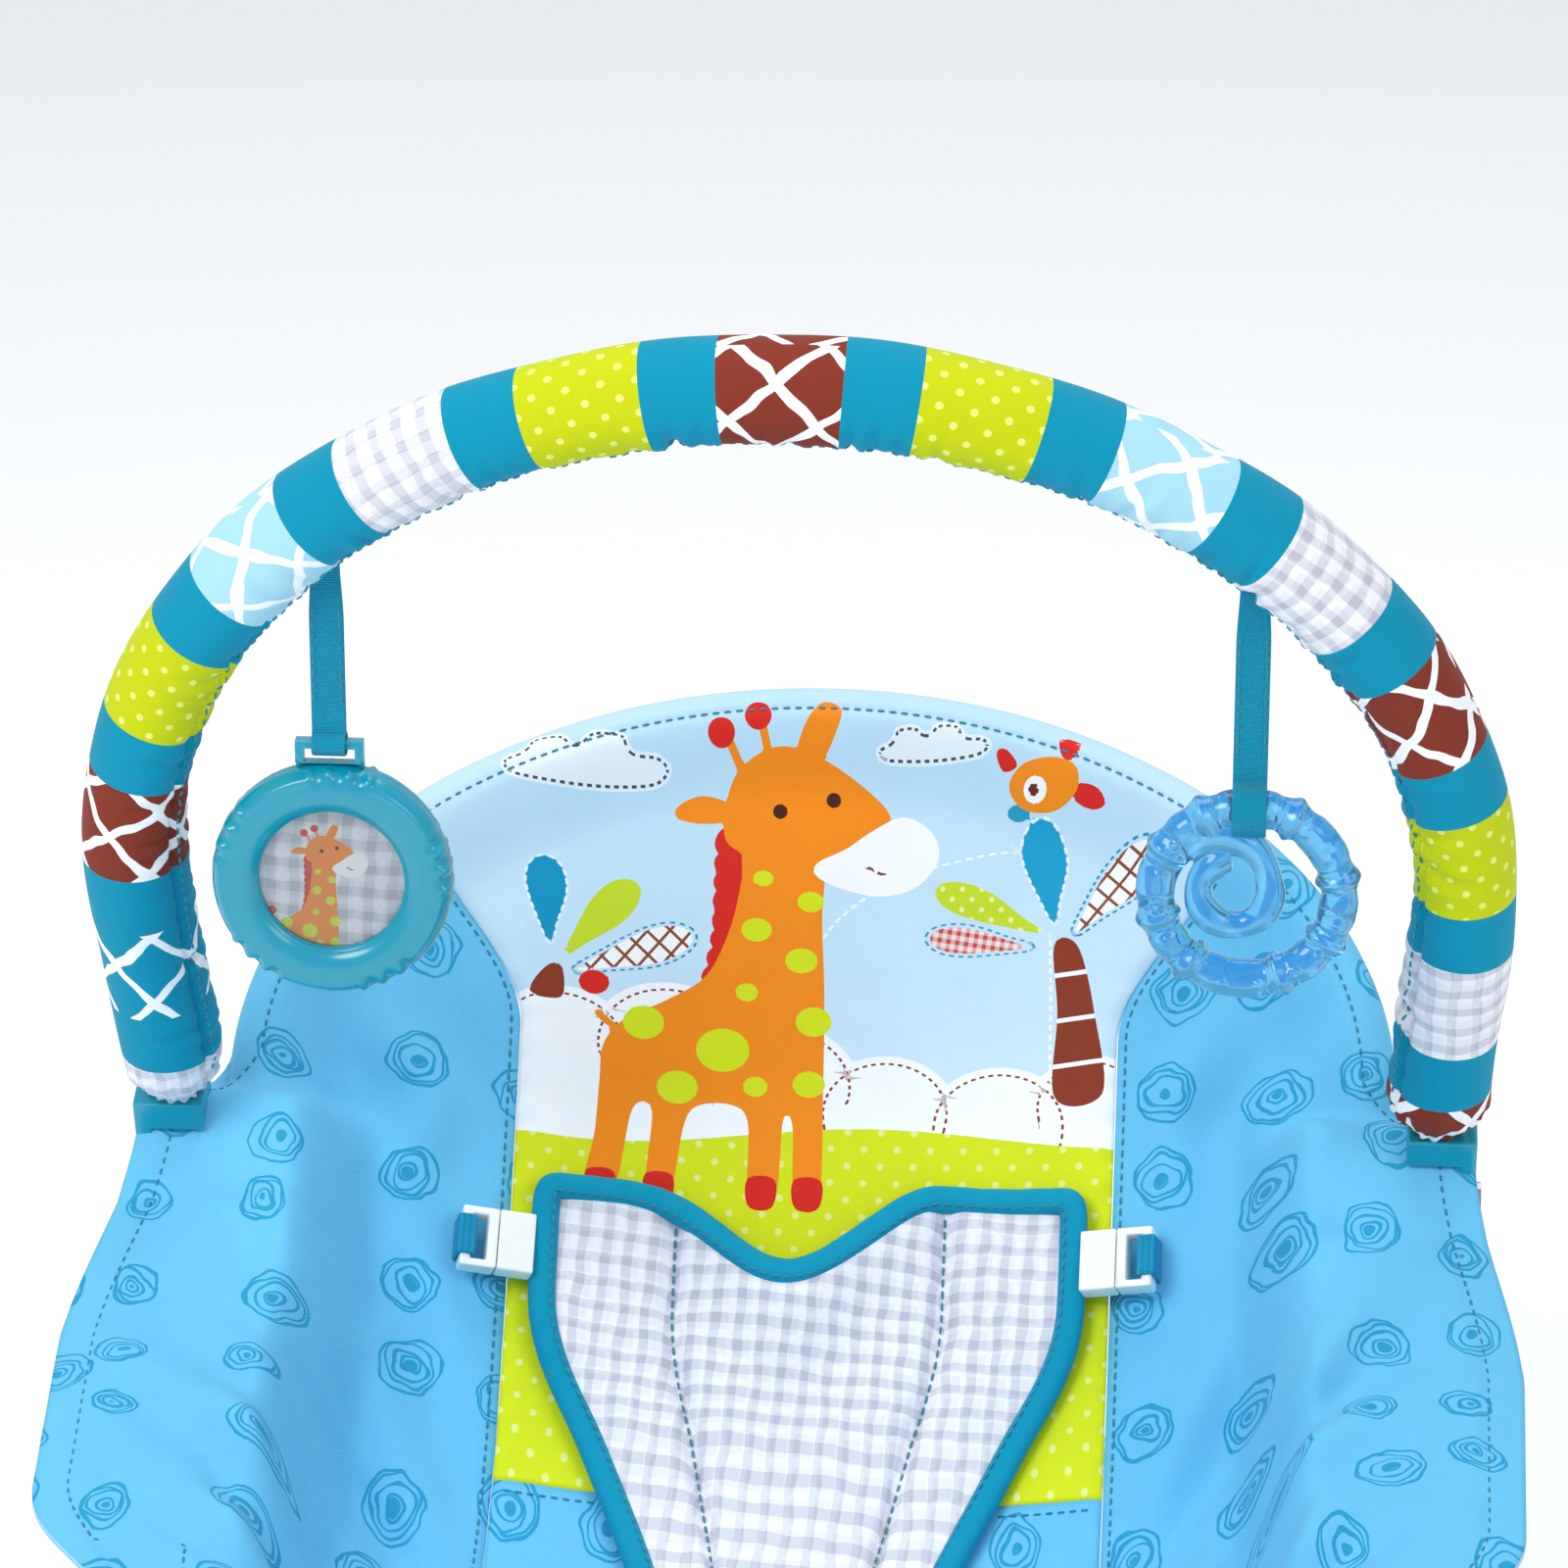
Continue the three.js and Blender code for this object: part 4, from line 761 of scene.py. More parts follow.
def giraffe(body, mane, marks, eyes, place=(0, 0), size=1.0):
    """A giraffe that looks to the right, with a mane of blocks, drawn about its chest."""

    def lay(points):
        """Puts the drawing at its place and size."""
        return turned(points, place, 0, size)

    body.shape(lay([(-15, 84), (-17, 60), (-21, 34), (-30, 8), (-46, -6), (-62, -16), (-71, -30), (-72, -48),
                    (-73, -72), (-76, -92), (-64, -93), (-58, -62), (-50, -62), (-51, -92), (-41, -93),
                    (-34, -61), (-12, -61), (-9, -92), (2, -94), (4, -64), (8, -66), (10, -95), (20, -95),
                    (20, -50), (19, 0), (17, 40), (17, 72), (9, 84)]), ORANGE)
    body.shape(lay([(-21, 78), (-25, 92), (-20, 108), (-4, 117), (14, 114), (34, 103), (44, 92), (40, 78),
                    (26, 70), (6, 68)]), ORANGE)
    body.shape(lay([(-22, 96), (-34, 99), (-44, 95), (-45, 90), (-34, 88), (-22, 90)]), ORANGE)
    body.shape(lay([(4, 112), (7, 124), (14, 134), (22, 132), (21, 124), (14, 112)]), ORANGE)
    body.limb(lay([(-18, 108), (-23, 117)]), 1.7 * size, ORANGE)
    body.limb(lay([(-7, 113), (-10, 124)]), 1.7 * size, ORANGE)
    body.limb(lay([(-66, -22), (-74, -14), (-75, -4)]), 1.6 * size, ORANGE)
    for step in range(9):
        back = -20.5 - 0.5 * max(0, step - 4) ** 1.75
        mane.disc(lay([(back, 80 - 10.4 * step)])[0], 8.2 * size, RED)
    marks.shape(lay([(14, 71), (24, 78), (38, 88), (50, 93), (62, 86), (64, 74), (56, 60), (42, 54), (26, 57),
                     (14, 64)]), "#FBFBFC")
    for x, y, r in [(-27, 121, 5.6), (-12, 128, 5.6), (-76, 1, 6.4)]:
        marks.disc(lay([(x, y)])[0], r * size, RED)
    for x, y, r in [(-8, 62, 4.4), (12, 50, 5.6), (-10, 34, 6.4), (9, 18, 6.8), (-13, 0, 4.8), (15, -14, 7.5),
                    (-22, -30, 11), (-55, -18, 8.5), (-40, -50, 8.5), (-8, -48, 5.2), (14, -46, 6.8)]:
        marks.disc(lay([(x, y)])[0], r * size, LIME)
    for x in (-70, -46, -4, 15):
        marks.shape(lay([(x - 5.6, -87), (x + 5.6, -87), (x + 4.8, -98), (x - 4.8, -98)]), RED)
    for x, y in [(-2, 94), (20, 99)]:
        eyes.disc(lay([(x, y)])[0], 3.1 * size, "#4B241A")
        eyes.disc(lay([(x + 0.9, y + 1.0)])[0], 0.9 * size, "#FFFFFF")
    eyes.limb(lay([(34, 70), (42, 66), (51, 68)]), 0.9 * size, "#8A3A22")


def bird(plants, body, marks, eyes, place):
    """A small bird that flies to the left."""
    body.shape(turned([(-13, -1), (-8, 6), (3, 8), (12, 5), (13, -3), (5, -9), (-7, -8)], place), ORANGE)
    for angle in (60, 82, 104):
        plants.shape(turned([(0, 0), (1.8, 4), (1, 9), (-1, 9), (-1.8, 4)], (place[0] + 9, place[1] + 6),
                            angle - 90), RED)
    tail = [(0, 2), (8, 3), (13, -1), (9, -4), (1, -3)]
    plants.shape(turned(tail, (place[0] + 12, place[1] - 3), -20), RED)
    plants.shape(turned([(-2, 0), (-9, 3), (-11, 0), (-6, -4)], (place[0] - 8, place[1] + 5), -25), RED)
    plants.disc((place[0] - 9, place[1] - 9), 2.9, "#2A9CC0", stretch=1.5)
    marks.disc((place[0] - 3, place[1] - 2), 4.4, "#FBFBFC")
    eyes.disc((place[0] - 3.6, place[1] - 2), 2.1, "#6B2E1C")


def draw_print(spots):
    """All layers of the back's print over the given spots, from the bottom one up."""
    names = ("hills", "ground", "plants", "body", "marks", "eyes", "dark", "pale")
    layers = {name: Layer(spots) for name in names}
    hills, plants, dark, pale = (layers[n] for n in ("hills", "plants", "dark", "pale"))
    for place, size in [((-92, 165), 0.96), ((40, 176), 0.66)]:
        outline = turned(CLOUD, place, 2, size)
        hills.shape(outline, "#E9F3FB")
        dark.stitches(closed_curve(outline), "#4A4E57", closed=True, inset=1.5)
    for x, v, r in HILLS:
        hills.disc((x, v), r, "#FBFDFE")
        arc = np.radians(np.linspace(196, -16, 40))
        dark.stitches(np.column_stack([x + (r - 3.6) * np.cos(arc), v + (r - 3.6) * np.sin(arc)]), BROWN)
    hills.shape([(-230, 34), (230, 10), (230, -160), (-230, -160)], "#FBFDFE", smooth=False)
    wave = np.linspace(-230, 230, 47)
    crest = [(x, 3 + 4 * math.sin(x / 34 + 0.9)) for x in wave]
    layers["ground"].shape(crest + [(230, -200), (-230, -200)], LIME, smooth=False)
    for place, angle, size, ink, kind in [
        ((-103, 86), 6, 0.92, TEAL, 0),
        ((-98, 80), -31, 0.98, LEAF_LIME, 0),
        ((-93, 74), -62, 0.98, "#FBFBF8", 2),
        ((88, 104), 9, 1.0, LEAF_TEAL, 0),
        ((84, 100), 62, 0.95, LEAF_LIME, 1),
        ((79, 93), 84, 0.78, "#F0E4E2", 3),
        ((96, 100), -33, 1.02, "#FBFBF8", 2),
    ]:
        outline = turned(LEAF, place, angle, size)
        plants.shape(outline, ink, kind)
        path = closed_curve(outline)
        if ink == LEAF_LIME and kind == 0:
            dark.stitches(path, "#9C4A2E", closed=True, inset=1.4)
        if ink in (TEAL, LEAF_TEAL):
            pale.stitches(path, "#E8F6FC", closed=True, inset=-0.2)
        if kind > 1:
            dark.stitches(path, "#2E93B4" if kind == 2 else "#3A9BB8", closed=True, inset=-1.6)
    plants.shape([(88, 94), (97, 93), (104, 60), (108, 22), (90, 20), (90, 60)], BROWN, 4)
    pale.stitches(np.array([(86.5, 96), (87.5, 60), (88, 20)], float), "#FBFDFE")
    pale.stitches(open_curve([(74, 141), (60, 139), (28, 126), (4, 103), (-3, 78), (8, 62)]), "#F4FAFE")
    plants.shape([(-110, 62), (-105, 74), (-99, 77), (-97, 66), (-99, 60)], BROWN)
    bird(plants, layers["body"], layers["marks"], layers["eyes"], (82, 164))
    giraffe(layers["body"], plants, layers["marks"], layers["eyes"], (-16, 68), 0.92)
    return layers


def inked(tree, name, ground):
    """A layer's motifs over the ground."""
    ink = put(tree, "Attribute", {}, 0, attribute_name=f"{name}_ink")
    return mixed(tree, masked(tree, name), ground, ink)


def masked(tree, name, edge=0.0):
    """1 where a layer's distance says that the spot is inside its motif."""
    return maths(tree, "LESS_THAN", put(tree, "Attribute", {}, 2, attribute_name=name), edge)


def sewn_dashes(tree, name, half_width, pitch, share):
    """A dashed line along a layer's outline."""
    gap = put(tree, "Attribute", {}, 2, attribute_name=name)
    along = put(tree, "Attribute", {}, 2, attribute_name=f"{name}_along")
    line = maths(tree, "LESS_THAN", maths(tree, "ABSOLUTE", gap), half_width)
    beat = maths(tree, "FRACT", maths(tree, "DIVIDE", along, pitch))
    near = maths(tree, "GREATER_THAN", put(tree, "Attribute", {}, 2, attribute_name=f"{name}_kind"), 0.5)
    return maths(tree, "MULTIPLY", maths(tree, "MULTIPLY", line, near), maths(tree, "LESS_THAN", beat, share))


def dotted(tree, place, spacing, radius):
    """1 inside dots that stand in staggered rows."""
    scaled = put(tree, "VectorMath", {0: place, "Scale": 1 / spacing}, operation="SCALE")
    found = None
    for offset in (0.0, 0.5):
        moved = put(tree, "VectorMath", {0: scaled, 1: (offset, offset, 0.5)}, operation="ADD")
        cell = put(tree, "VectorMath", {0: moved}, operation="FRACTION")
        middle = put(tree, "VectorMath", {0: cell, 1: (0.5, 0.5, 0.5)}, operation="SUBTRACT")
        away = put(tree, "VectorMath", {0: middle}, output=1, operation="LENGTH")
        dot = maths(tree, "LESS_THAN", away, radius / spacing)
        found = dot if found is None else maths(tree, "MAXIMUM", found, dot)
    return found


def crossed(tree, place, spacing, width, angle=45.0, wobble=0.0):
    """1 on two sets of crossing lines."""
    if wobble:
        noise = put(tree, "TexNoise", {"Vector": place, "Scale": 70.0, "Detail": 1.0}, output=1)
        noise = put(tree, "VectorMath", {0: noise, 1: (0.5, 0.5, 0.5)}, operation="SUBTRACT")
        noise = put(tree, "VectorMath", {0: noise, "Scale": wobble}, operation="SCALE")
        place = put(tree, "VectorMath", {0: place, 1: noise}, operation="ADD")
    turn = put(tree, "Mapping", {0: place, 2: (0, 0, math.radians(angle)), 3: (1 / spacing,) * 3})
    along = put(tree, "SeparateXYZ", {0: turn})
    lines = []
    for value in (along, along.node.outputs[1]):
        beat = maths(tree, "ABSOLUTE", maths(tree, "SUBTRACT", maths(tree, "FRACT", value), 0.5))
        lines.append(maths(tree, "LESS_THAN", beat, width / spacing / 2))
    return lines


def meadow(tree, place):
    """The print, laid layer on layer from the vertices' distances."""
    up = put(tree, "SeparateXYZ", {0: place}).node.outputs[1]
    sky = mixed(tree, put(tree, "MapRange", {0: up, 1: -0.02, 2: 0.19}), linear("#D9EDFA"), linear("#BDE0F5"))
    shade = mixed(tree, masked(tree, "hills"), sky, put(tree, "Attribute", {}, 0, attribute_name="hills_ink"))
    shade = mixed(tree, sewn_dashes(tree, "dark", 0.5, 3.4, 0.55), shade,
                  put(tree, "Attribute", {}, 0, attribute_name="dark_ink"))
    grass = mixed(tree, dotted(tree, place, 0.0125, 0.0013), linear(LIME), linear("#EAF08C"))
    shade = mixed(tree, masked(tree, "ground"), shade, grass)
    kind = put(tree, "Attribute", {}, 2, attribute_name="plants_kind")
    ink = put(tree, "Attribute", {}, 0, attribute_name="plants_ink")
    hatch = maths(tree, "MAXIMUM", *crossed(tree, place, 0.0062, 0.0011, 40))
    red_plaid = crossed(tree, place, 0.0034, 0.0016, 8)
    red_share = maths(tree, "MULTIPLY", maths(tree, "ADD", *red_plaid), 0.5)
    rungs = put(tree, "Mapping", {0: place, 2: (0, 0, -0.12), 3: (60.0, 60.0, 60.0)})
    rung_up = put(tree, "SeparateXYZ", {0: rungs}).node.outputs[1]
    rung_line = maths(tree, "LESS_THAN", maths(tree, "FRACT", rung_up), 0.10)
    for number, share, colour in (
        (1, dotted(tree, place, 0.0075, 0.0010), "#EEF3A0"), (2, hatch, "#8E4A34"), (3, red_share, "#D8433C"),
        (4, rung_line, "#FBFDFE"),
    ):
        chosen = put(tree, "Math", {0: kind, 1: float(number), 2: 0.4}, operation="COMPARE")
        ink = mixed(tree, maths(tree, "MULTIPLY", share, chosen), ink, linear(colour))
    shade = mixed(tree, masked(tree, "plants"), shade, ink)
    shade = mixed(tree, sewn_dashes(tree, "pale", 0.55, 4.6, 0.6), shade,
                  put(tree, "Attribute", {}, 0, attribute_name="pale_ink"))
    for name in ("body", "marks", "eyes"):
        shade = inked(tree, name, shade)
    return shade


def drawn_places(spots):
    """The drawing is printed a little shorter near the hips than it was drawn."""
    drawn = np.interp(spots[:, 1], [-150, 11, 44, 88, 142, 230], [-181, -20, 12, 68, 142, 230])
    return np.column_stack([spots[:, 0], drawn])


def store_layers(piece, layers):
    """Writes the layers to a mesh's vertices as attributes."""
    for name, layer in layers.items():
        fields = [(name, layer.away), (f"{name}_along", layer.along), (f"{name}_kind", layer.kind)]
        if name not in ("dark", "pale"):
            fields.pop(1)
        if name not in ("plants", "dark", "pale"):
            fields.pop()
        for field, values in fields:
            made = piece.data.attributes.new(field, "FLOAT", "POINT")
            made.data.foreach_set("value", np.asarray(values, np.float32))
        made = piece.data.attributes.new(f"{name}_ink", "FLOAT_COLOR", "POINT")
        made.data.foreach_set("color", np.asarray(layer.ink, np.float32).ravel())


def uv_of_vertices(piece):
    """Each vertex's place in the flat pattern, in metres."""
    mesh = piece.data
    corner = np.empty(len(mesh.loops), int)
    mesh.loops.foreach_get("vertex_index", corner)
    flat = np.empty(2 * len(mesh.loops), np.float32)
    mesh.uv_layers["cloth"].data.foreach_get("uv", flat)
    found = np.zeros((len(mesh.vertices), 2))
    found[corner] = flat.reshape(-1, 2)
    return found


printed_cloth = woven("printed_cloth", "#B9E1F4", roughness=0.74, paint=meadow, depth=0.00004)


def head_rows(end):
    """Rows of the cover, close together at the round head end."""
    turns = np.linspace(0.0, math.pi / 2, 110)[1:]
    head = HEAD_CURVE - HEAD_REACH * np.cos(turns)
    straight = np.linspace(HEAD_CURVE, end, round((end - HEAD_CURVE) / BACK_PITCH) + 1)
    return np.concatenate([[0.02 - COVER_HEM], head[:-1], straight])


def back_edge(s):
    """Half width of the back: the outline at the head, then the wing seam."""
    return np.where(s < SEAM_HEAD, cover_half(s), seam_half(s)) - 0.2


back_cover = sheet_piece("back_cover", head_rows(COVER_SPLIT), lambda s: -back_edge(s), back_edge, 156,
                         [printed_cloth, lining_cloth])
store_layers(back_cover, draw_print(drawn_places(uv_of_vertices(back_cover) / MM)))
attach(back_cover, "seat")
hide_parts("back_panel")

# ------------------------------------------------------------ the seat cover: wings, seat and hems
# The two wings are padded a little and lie in soft folds. They are cut with the seat from sky blue cloth;
# the hems are sleeves of the same cloth, sewn round the hoop and stopped short of the hubs.
HEM_RADIUS = 9.9
HEM_STOP = 36


def wing_rows():
    """Rows of a wing, close together at its foot end."""
    ends = np.linspace(0, math.pi / 2, 26)[1:]
    foot_start = HOOP_LENGTH - FOOT_CURVE
    reach = SEAM_FOOT - foot_start
    return np.concatenate([np.arange(SEAM_HEAD, foot_start, 2.6), foot_start + reach * np.sin(ends)])


def foot_rows():
    """Rows of the seat, close together at its round foot end."""
    turns = np.linspace(0, math.pi / 2, 70)[:-1]
    straight = np.arange(COVER_SPLIT, HOOP_LENGTH - FOOT_CURVE, 3.0)
    return np.concatenate([straight, HOOP_LENGTH - FOOT_CURVE + FOOT_REACH * np.sin(turns),
                           [HOOP_LENGTH + COVER_HEM - 0.02]])


def seat_edge(s):
    """Half width of the seat: the wing seam, then the outline."""
    return np.where(s > SEAM_FOOT, cover_half(s), seam_half(s)) - 0.2


def cover_sheet(piece, node):
    """Attaches a panel of sky blue cloth to the seat and hides its CAD node."""
    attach(piece, "seat")
    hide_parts(node)


for side, sign in SIDES:
    inner, outer = (lambda s, k=sign: k * (seam_half(s) + 0.2)), (lambda s, k=sign: k * cover_half(s))
    left, right = (outer, inner) if sign < 0 else (inner, outer)
    wing = sheet_piece(f"wing_cover_{side}", wing_rows(), left, right, 64, [wing_cloth, lining_cloth])
    cover_sheet(wing, f"wing_{side}")
seat_cover = sheet_piece("seat_cover", foot_rows(), lambda s: -seat_edge(s), seat_edge, 110,
                         [wing_cloth, lining_cloth])
cover_sheet(seat_cover, "seat_panel")


def grid_piece(name, points, plan, materials, slots=None, caps=True):
    """A piece from a grid whose last column may meet the first; plan is its UV, in metres."""
    rows, columns = points.shape[:2]
    index = np.arange(rows * columns).reshape(rows, columns)
    faces = np.stack([index[:-1, :-1], index[1:, :-1], index[1:, 1:], index[:-1, 1:]], -1).reshape(-1, 4)
    mesh = bpy.data.meshes.new(name)
    mesh.from_pydata((points.reshape(-1, 3) * MM).tolist(), [], faces.tolist())
    layer = mesh.uv_layers.new(name="cloth")
    corner = np.empty(len(mesh.loops), int)
    mesh.loops.foreach_get("vertex_index", corner)
    layer.data.foreach_set("uv", plan.reshape(-1, 2)[corner].astype(np.float32).ravel())
    for material in materials:
        mesh.materials.append(material)
    if slots is not None:
        mesh.polygons.foreach_set("material_index", np.repeat(slots, columns - 1))
    mesh.polygons.foreach_set("use_smooth", [True] * len(mesh.polygons))
    body = bmesh.new()
    body.from_mesh(mesh)
    bmesh.ops.remove_doubles(body, verts=body.verts, dist=2e-6)
    if caps:
        bmesh.ops.holes_fill(body, edges=[e for e in body.edges if e.is_boundary], sides=0)
    bmesh.ops.recalc_face_normals(body, faces=body.faces)
    body.to_mesh(mesh)
    body.free()
    piece = bpy.data.objects.new(name, mesh)
    bpy.context.collection.objects.link(piece)
    return piece


def lengths(points):
    """Distance along a line of points, from its start."""
    return np.concatenate([[0], np.cumsum(np.linalg.norm(np.diff(points, axis=0), axis=1))])


def sleeve(name, line, radius, ripple, materials):
    """A slightly rippled tube of cloth along a line, turned in at both ends."""
    _, across, up = along_line(line)
    turns = np.linspace(0, 2 * math.pi, 41)
    run = lengths(line)
    from_end = np.minimum(run, run[-1] - run)
    ends = 1 - 0.22 * (1 - eased(from_end, 0, 9))
    wave = ripple * np.sin(run / 6.5)[:, None] * np.sin(2 * turns + 0.6)[None]
    wide = radius * ends[:, None] - ripple + wave
    arms = np.cos(turns)[None, :, None] * across[:, None] + np.sin(turns)[None, :, None] * up[:, None]
    points = line[:, None] + wide[..., None] * arms
    plan = np.stack([np.broadcast_to(run[:, None], wide.shape), radius * turns[None] + 0 * wide], -1) * MM
    return grid_piece(name, points, plan, materials)


for name, head in (("head_hem", True), ("foot_hem", False)):
    line, _ = hoop_line(HEAD_LENGTH - HEM_STOP if head else HEAD_LENGTH + HEM_STOP, head, 3.0)
    hem = sleeve(name, line, HEM_RADIUS, 0.25, [lining_cloth])
    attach(hem, "seat")
    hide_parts("hem_head" if head else "hem_foot")

# ------------------------------------------------------------ stitches
# Every seam is lock-stitched with twisted polyester thread in a darker teal; each stitch stands a little
# proud in its middle and dips into the cloth at both ends.
STITCH_LENGTH = 3.3
STITCH_PITCH = 4.5
THREAD_RADIUS = 0.5


def thread_paint(name, colour):
    """Twisted thread."""
    material, tree = finish(name, colour, 0.62, Sheen_Weight=0.3)
    lead(tree, "Base Color", shaded(tree, linear(colour), 0.8, 1.12, speckle(tree, 900, 2)))
    return material


teal_thread = thread_paint("teal_thread", "#15809B")
bar_thread = thread_paint("bar_thread", "#0E8CA6")


def sampled(distance, run, values):
    """The values along a line at a distance from its start."""
    return np.array([np.interp(distance, run, values[:, i]) for i in range(3)])


def stitches(name, lines, material, body):
    """Rows of stitches along lines, each given as points and the directions away from the cloth."""
    rings = np.array([(0.0, -0.35, 0.3), (0.22, 0.18, 1.0), (0.78, 0.18, 1.0), (1.0, -0.35, 0.3)])
    turns = np.linspace(0, 2 * math.pi, 6, endpoint=False)
    points, faces = [], []
    ring = ring_faces(4, 6, closed=False)
    for line, ups in lines:
        run = lengths(line)
        starts = np.arange(1.0, run[-1] - STITCH_LENGTH, STITCH_PITCH)
        for start in starts:
            ends = [sampled(start + k, run, line) for k in (0, STITCH_LENGTH)]
            up = sampled(start, run, ups)
            along = ends[1] - ends[0]
            across = np.cross(along, up)
            across /= np.linalg.norm(across)
            base = len(points)
            for share, height, wide in rings:
                middle = ends[0] + along * share + up * height
                for turn in turns:
                    arm = math.cos(turn) * across + math.sin(turn) * up
                    points.append(middle + arm * wide * THREAD_RADIUS)
            faces += [tuple(base + i for i in face) for face in ring]
            faces += [tuple(base + i for i in range(6)), tuple(base + 18 + i for i in range(6))]
    piece = new_mesh(name, points, faces)
    piece.data.materials.append(material)
    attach(piece, body)
    return piece


def cover_track(x, s):
    """Points on the cover's upper face, and the directions away from it."""
    points = cover_point(x, s)
    away = cover_point(x, s, -1.0) - points
    return points, away / np.linalg.norm(away, axis=1)[:, None]


def hem_track(inset):
    """The line of stitches round the whole cover, inside its hem."""
    wide = SEAT_HALF_WIDTH + COVER_HEM - inset
    down = np.arange(HEAD_CURVE, HOOP_LENGTH - FOOT_CURVE, 3.0)
    turns = np.linspace(math.pi, 0, 140)
    head = [(wide * math.cos(t), HEAD_CURVE - (HEAD_REACH - inset) * math.sin(t)) for t in turns]
    right = [(wide + float(wing_flare(s)), s) for s in down]
    foot = [(wide * math.cos(t), HOOP_LENGTH - FOOT_CURVE + (FOOT_REACH - inset) * math.sin(t))
            for t in turns[::-1]]
    left = [(-wide - float(wing_flare(s)), s) for s in down[::-1]]
    flat = np.array(head + right + foot + left)
    return cover_track(flat[:, 0], flat[:, 1])


seam_lines = [hem_track(HEM_STITCH)]
seam_s = np.arange(SEAM_HEAD + 6, SEAM_FOOT - 6, 3.0)
for _, sign in SIDES:
    seam_lines.append(cover_track(sign * (seam_half(seam_s) + 3.2), seam_s))
split_x = np.linspace(-WING_SEAM + 3, WING_SEAM - 3, 90)
seam_lines.append(cover_track(split_x, np.full(90, COVER_SPLIT + 3.0)))
stitches("cover_stitches", seam_lines, teal_thread, "seat")

# ------------------------------------------------------------ the toy bar's padded cover
# A foam tube on the bar core, in a sleeve printed with bands: teal between dots, checks and lattices. The
# sleeve is closed by one seam on the inner side, where the cloth is pressed into short cross wrinkles.
BAR_LEAN = math.radians(18)
BAR_LEG = 147
BAR_SPREAD = 6
BAR_RISE = 213
BAR_HALF_WIDTH = FRAME_HALF_WIDTH + 1
COVER_START = 38
BAR_COVER_RADIUS = 18.4
SEAM_TURN = math.radians(147)
BAND_TEAL = 25
BAND_PRINT = 41
CREASES = 230
BAR_PITCH = 1.5


def bar_plane(x, h):
    """A place in the bar's leaning plane."""
    x, h = np.asarray(x, float), np.asarray(h, float)
    return np.stack([x, HUB_SETBACK - h * math.sin(BAR_LEAN), HUB_HEIGHT + h * math.cos(BAR_LEAN)], -1)


def bar_line(start):
    """Centre line of the toy bar, from the left leg over the arch to the right leg."""
    h = np.linspace(start, BAR_LEG, 60)
    leg_x = BAR_HALF_WIDTH + BAR_SPREAD * eased(h, 37, BAR_LEG)
    t = np.linspace(math.pi, 0, 700)[1:-1]
    arch = (BAR_HALF_WIDTH + BAR_SPREAD) * np.cos(t)
    flat_x = np.concatenate([-leg_x, arch, leg_x[::-1]])
    flat_h = np.concatenate([h, BAR_LEG + BAR_RISE * np.sin(t), h[::-1]])
    dense = bar_plane(flat_x, flat_h)
    run = lengths(dense)
    return dense, run - run[-1] / 2


bar_points, bar_run = bar_line(COVER_START)
bar_half = float(bar_run[-1])
BAR_FACE = np.array([0, -math.cos(BAR_LEAN), -math.sin(BAR_LEAN)])

LEFT_BANDS = ("lime", "plaid", "sky", "lime", "brown", "teal_lattice", "plaid")
RIGHT_BANDS = ("lime", "sky", "plaid", "brown", "lime", "plaid", "brown")


def band_edges(kinds):
    """Where the bands of one half end, from the middle outwards, and their prints."""
    edges, names = [BAND_PRINT / 2], ["brown"]
    for kind in kinds:
        edges += [edges[-1] + BAND_TEAL, edges[-1] + BAND_TEAL + BAND_PRINT]
        names += ["teal", kind]
    edges[-1] = bar_half
    return edges, names


left_edges, left_names = band_edges(LEFT_BANDS)
right_edges, right_names = band_edges(RIGHT_BANDS)
edges = [-e for e in reversed(left_edges)] + right_edges
bands = list(reversed(left_names[1:])) + right_names
counts = [round((b - a) / BAR_PITCH) for a, b in zip(edges, edges[1:])]
bar_rows = np.concatenate([np.linspace(a, b, n + 1)[:-1] for a, b, n in zip(edges, edges[1:], counts)])
row_band = np.repeat(np.arange(len(counts)), counts)
bar_rows = np.append(bar_rows, edges[-1])


def dots_paint(tree, place):
    """Pale dots on lime."""
    return mixed(tree, dotted(tree, place, 0.0115, 0.00135), linear("#C3CF0C"), linear("#E4EB7C"))


def plaid_paint(tree, place):
    """A hand-drawn check in grey on white."""
    lines = crossed(tree, place, 0.0088, 0.0036, 4, 0.0035)
    fine = crossed(tree, place, 0.0088, 0.0064, 2, 0.004)
    share = maths(tree, "MULTIPLY", maths(tree, "ADD", *lines), 0.36)
    share = maths(tree, "ADD", share, maths(tree, "MULTIPLY", maths(tree, "MULTIPLY", *fine), 0.16))
    return mixed(tree, share, linear("#F1F1F7"), linear("#B3B6C4"))


def lattice_paint(ground):
    """White crossing lines on a ground colour."""
    def paint(tree, place):
        """The lattice over its ground."""
        lines = crossed(tree, place, 0.0212, 0.0035, 41, 0.006)
        return mixed(tree, maths(tree, "MAXIMUM", *lines), linear(ground), linear("#F7F9FB"))

    return paint


BAND_CLOTH = {
    "teal": woven("bar_teal", "#008FB0", paint=None, depth=0.00005),
    "lime": woven("bar_lime", "#C3CF0C", paint=dots_paint),
    "plaid": woven("bar_plaid", "#E4E4EC", paint=plaid_paint),
    "sky": woven("bar_sky", "#A5D8EA", paint=lattice_paint("#A5D8EA")),
    "brown": woven("bar_brown", "#7E3524", paint=lattice_paint("#823324")),
    "teal_lattice": woven("bar_teal_lattice", "#008FB0", paint=lattice_paint("#008FB0")),
}


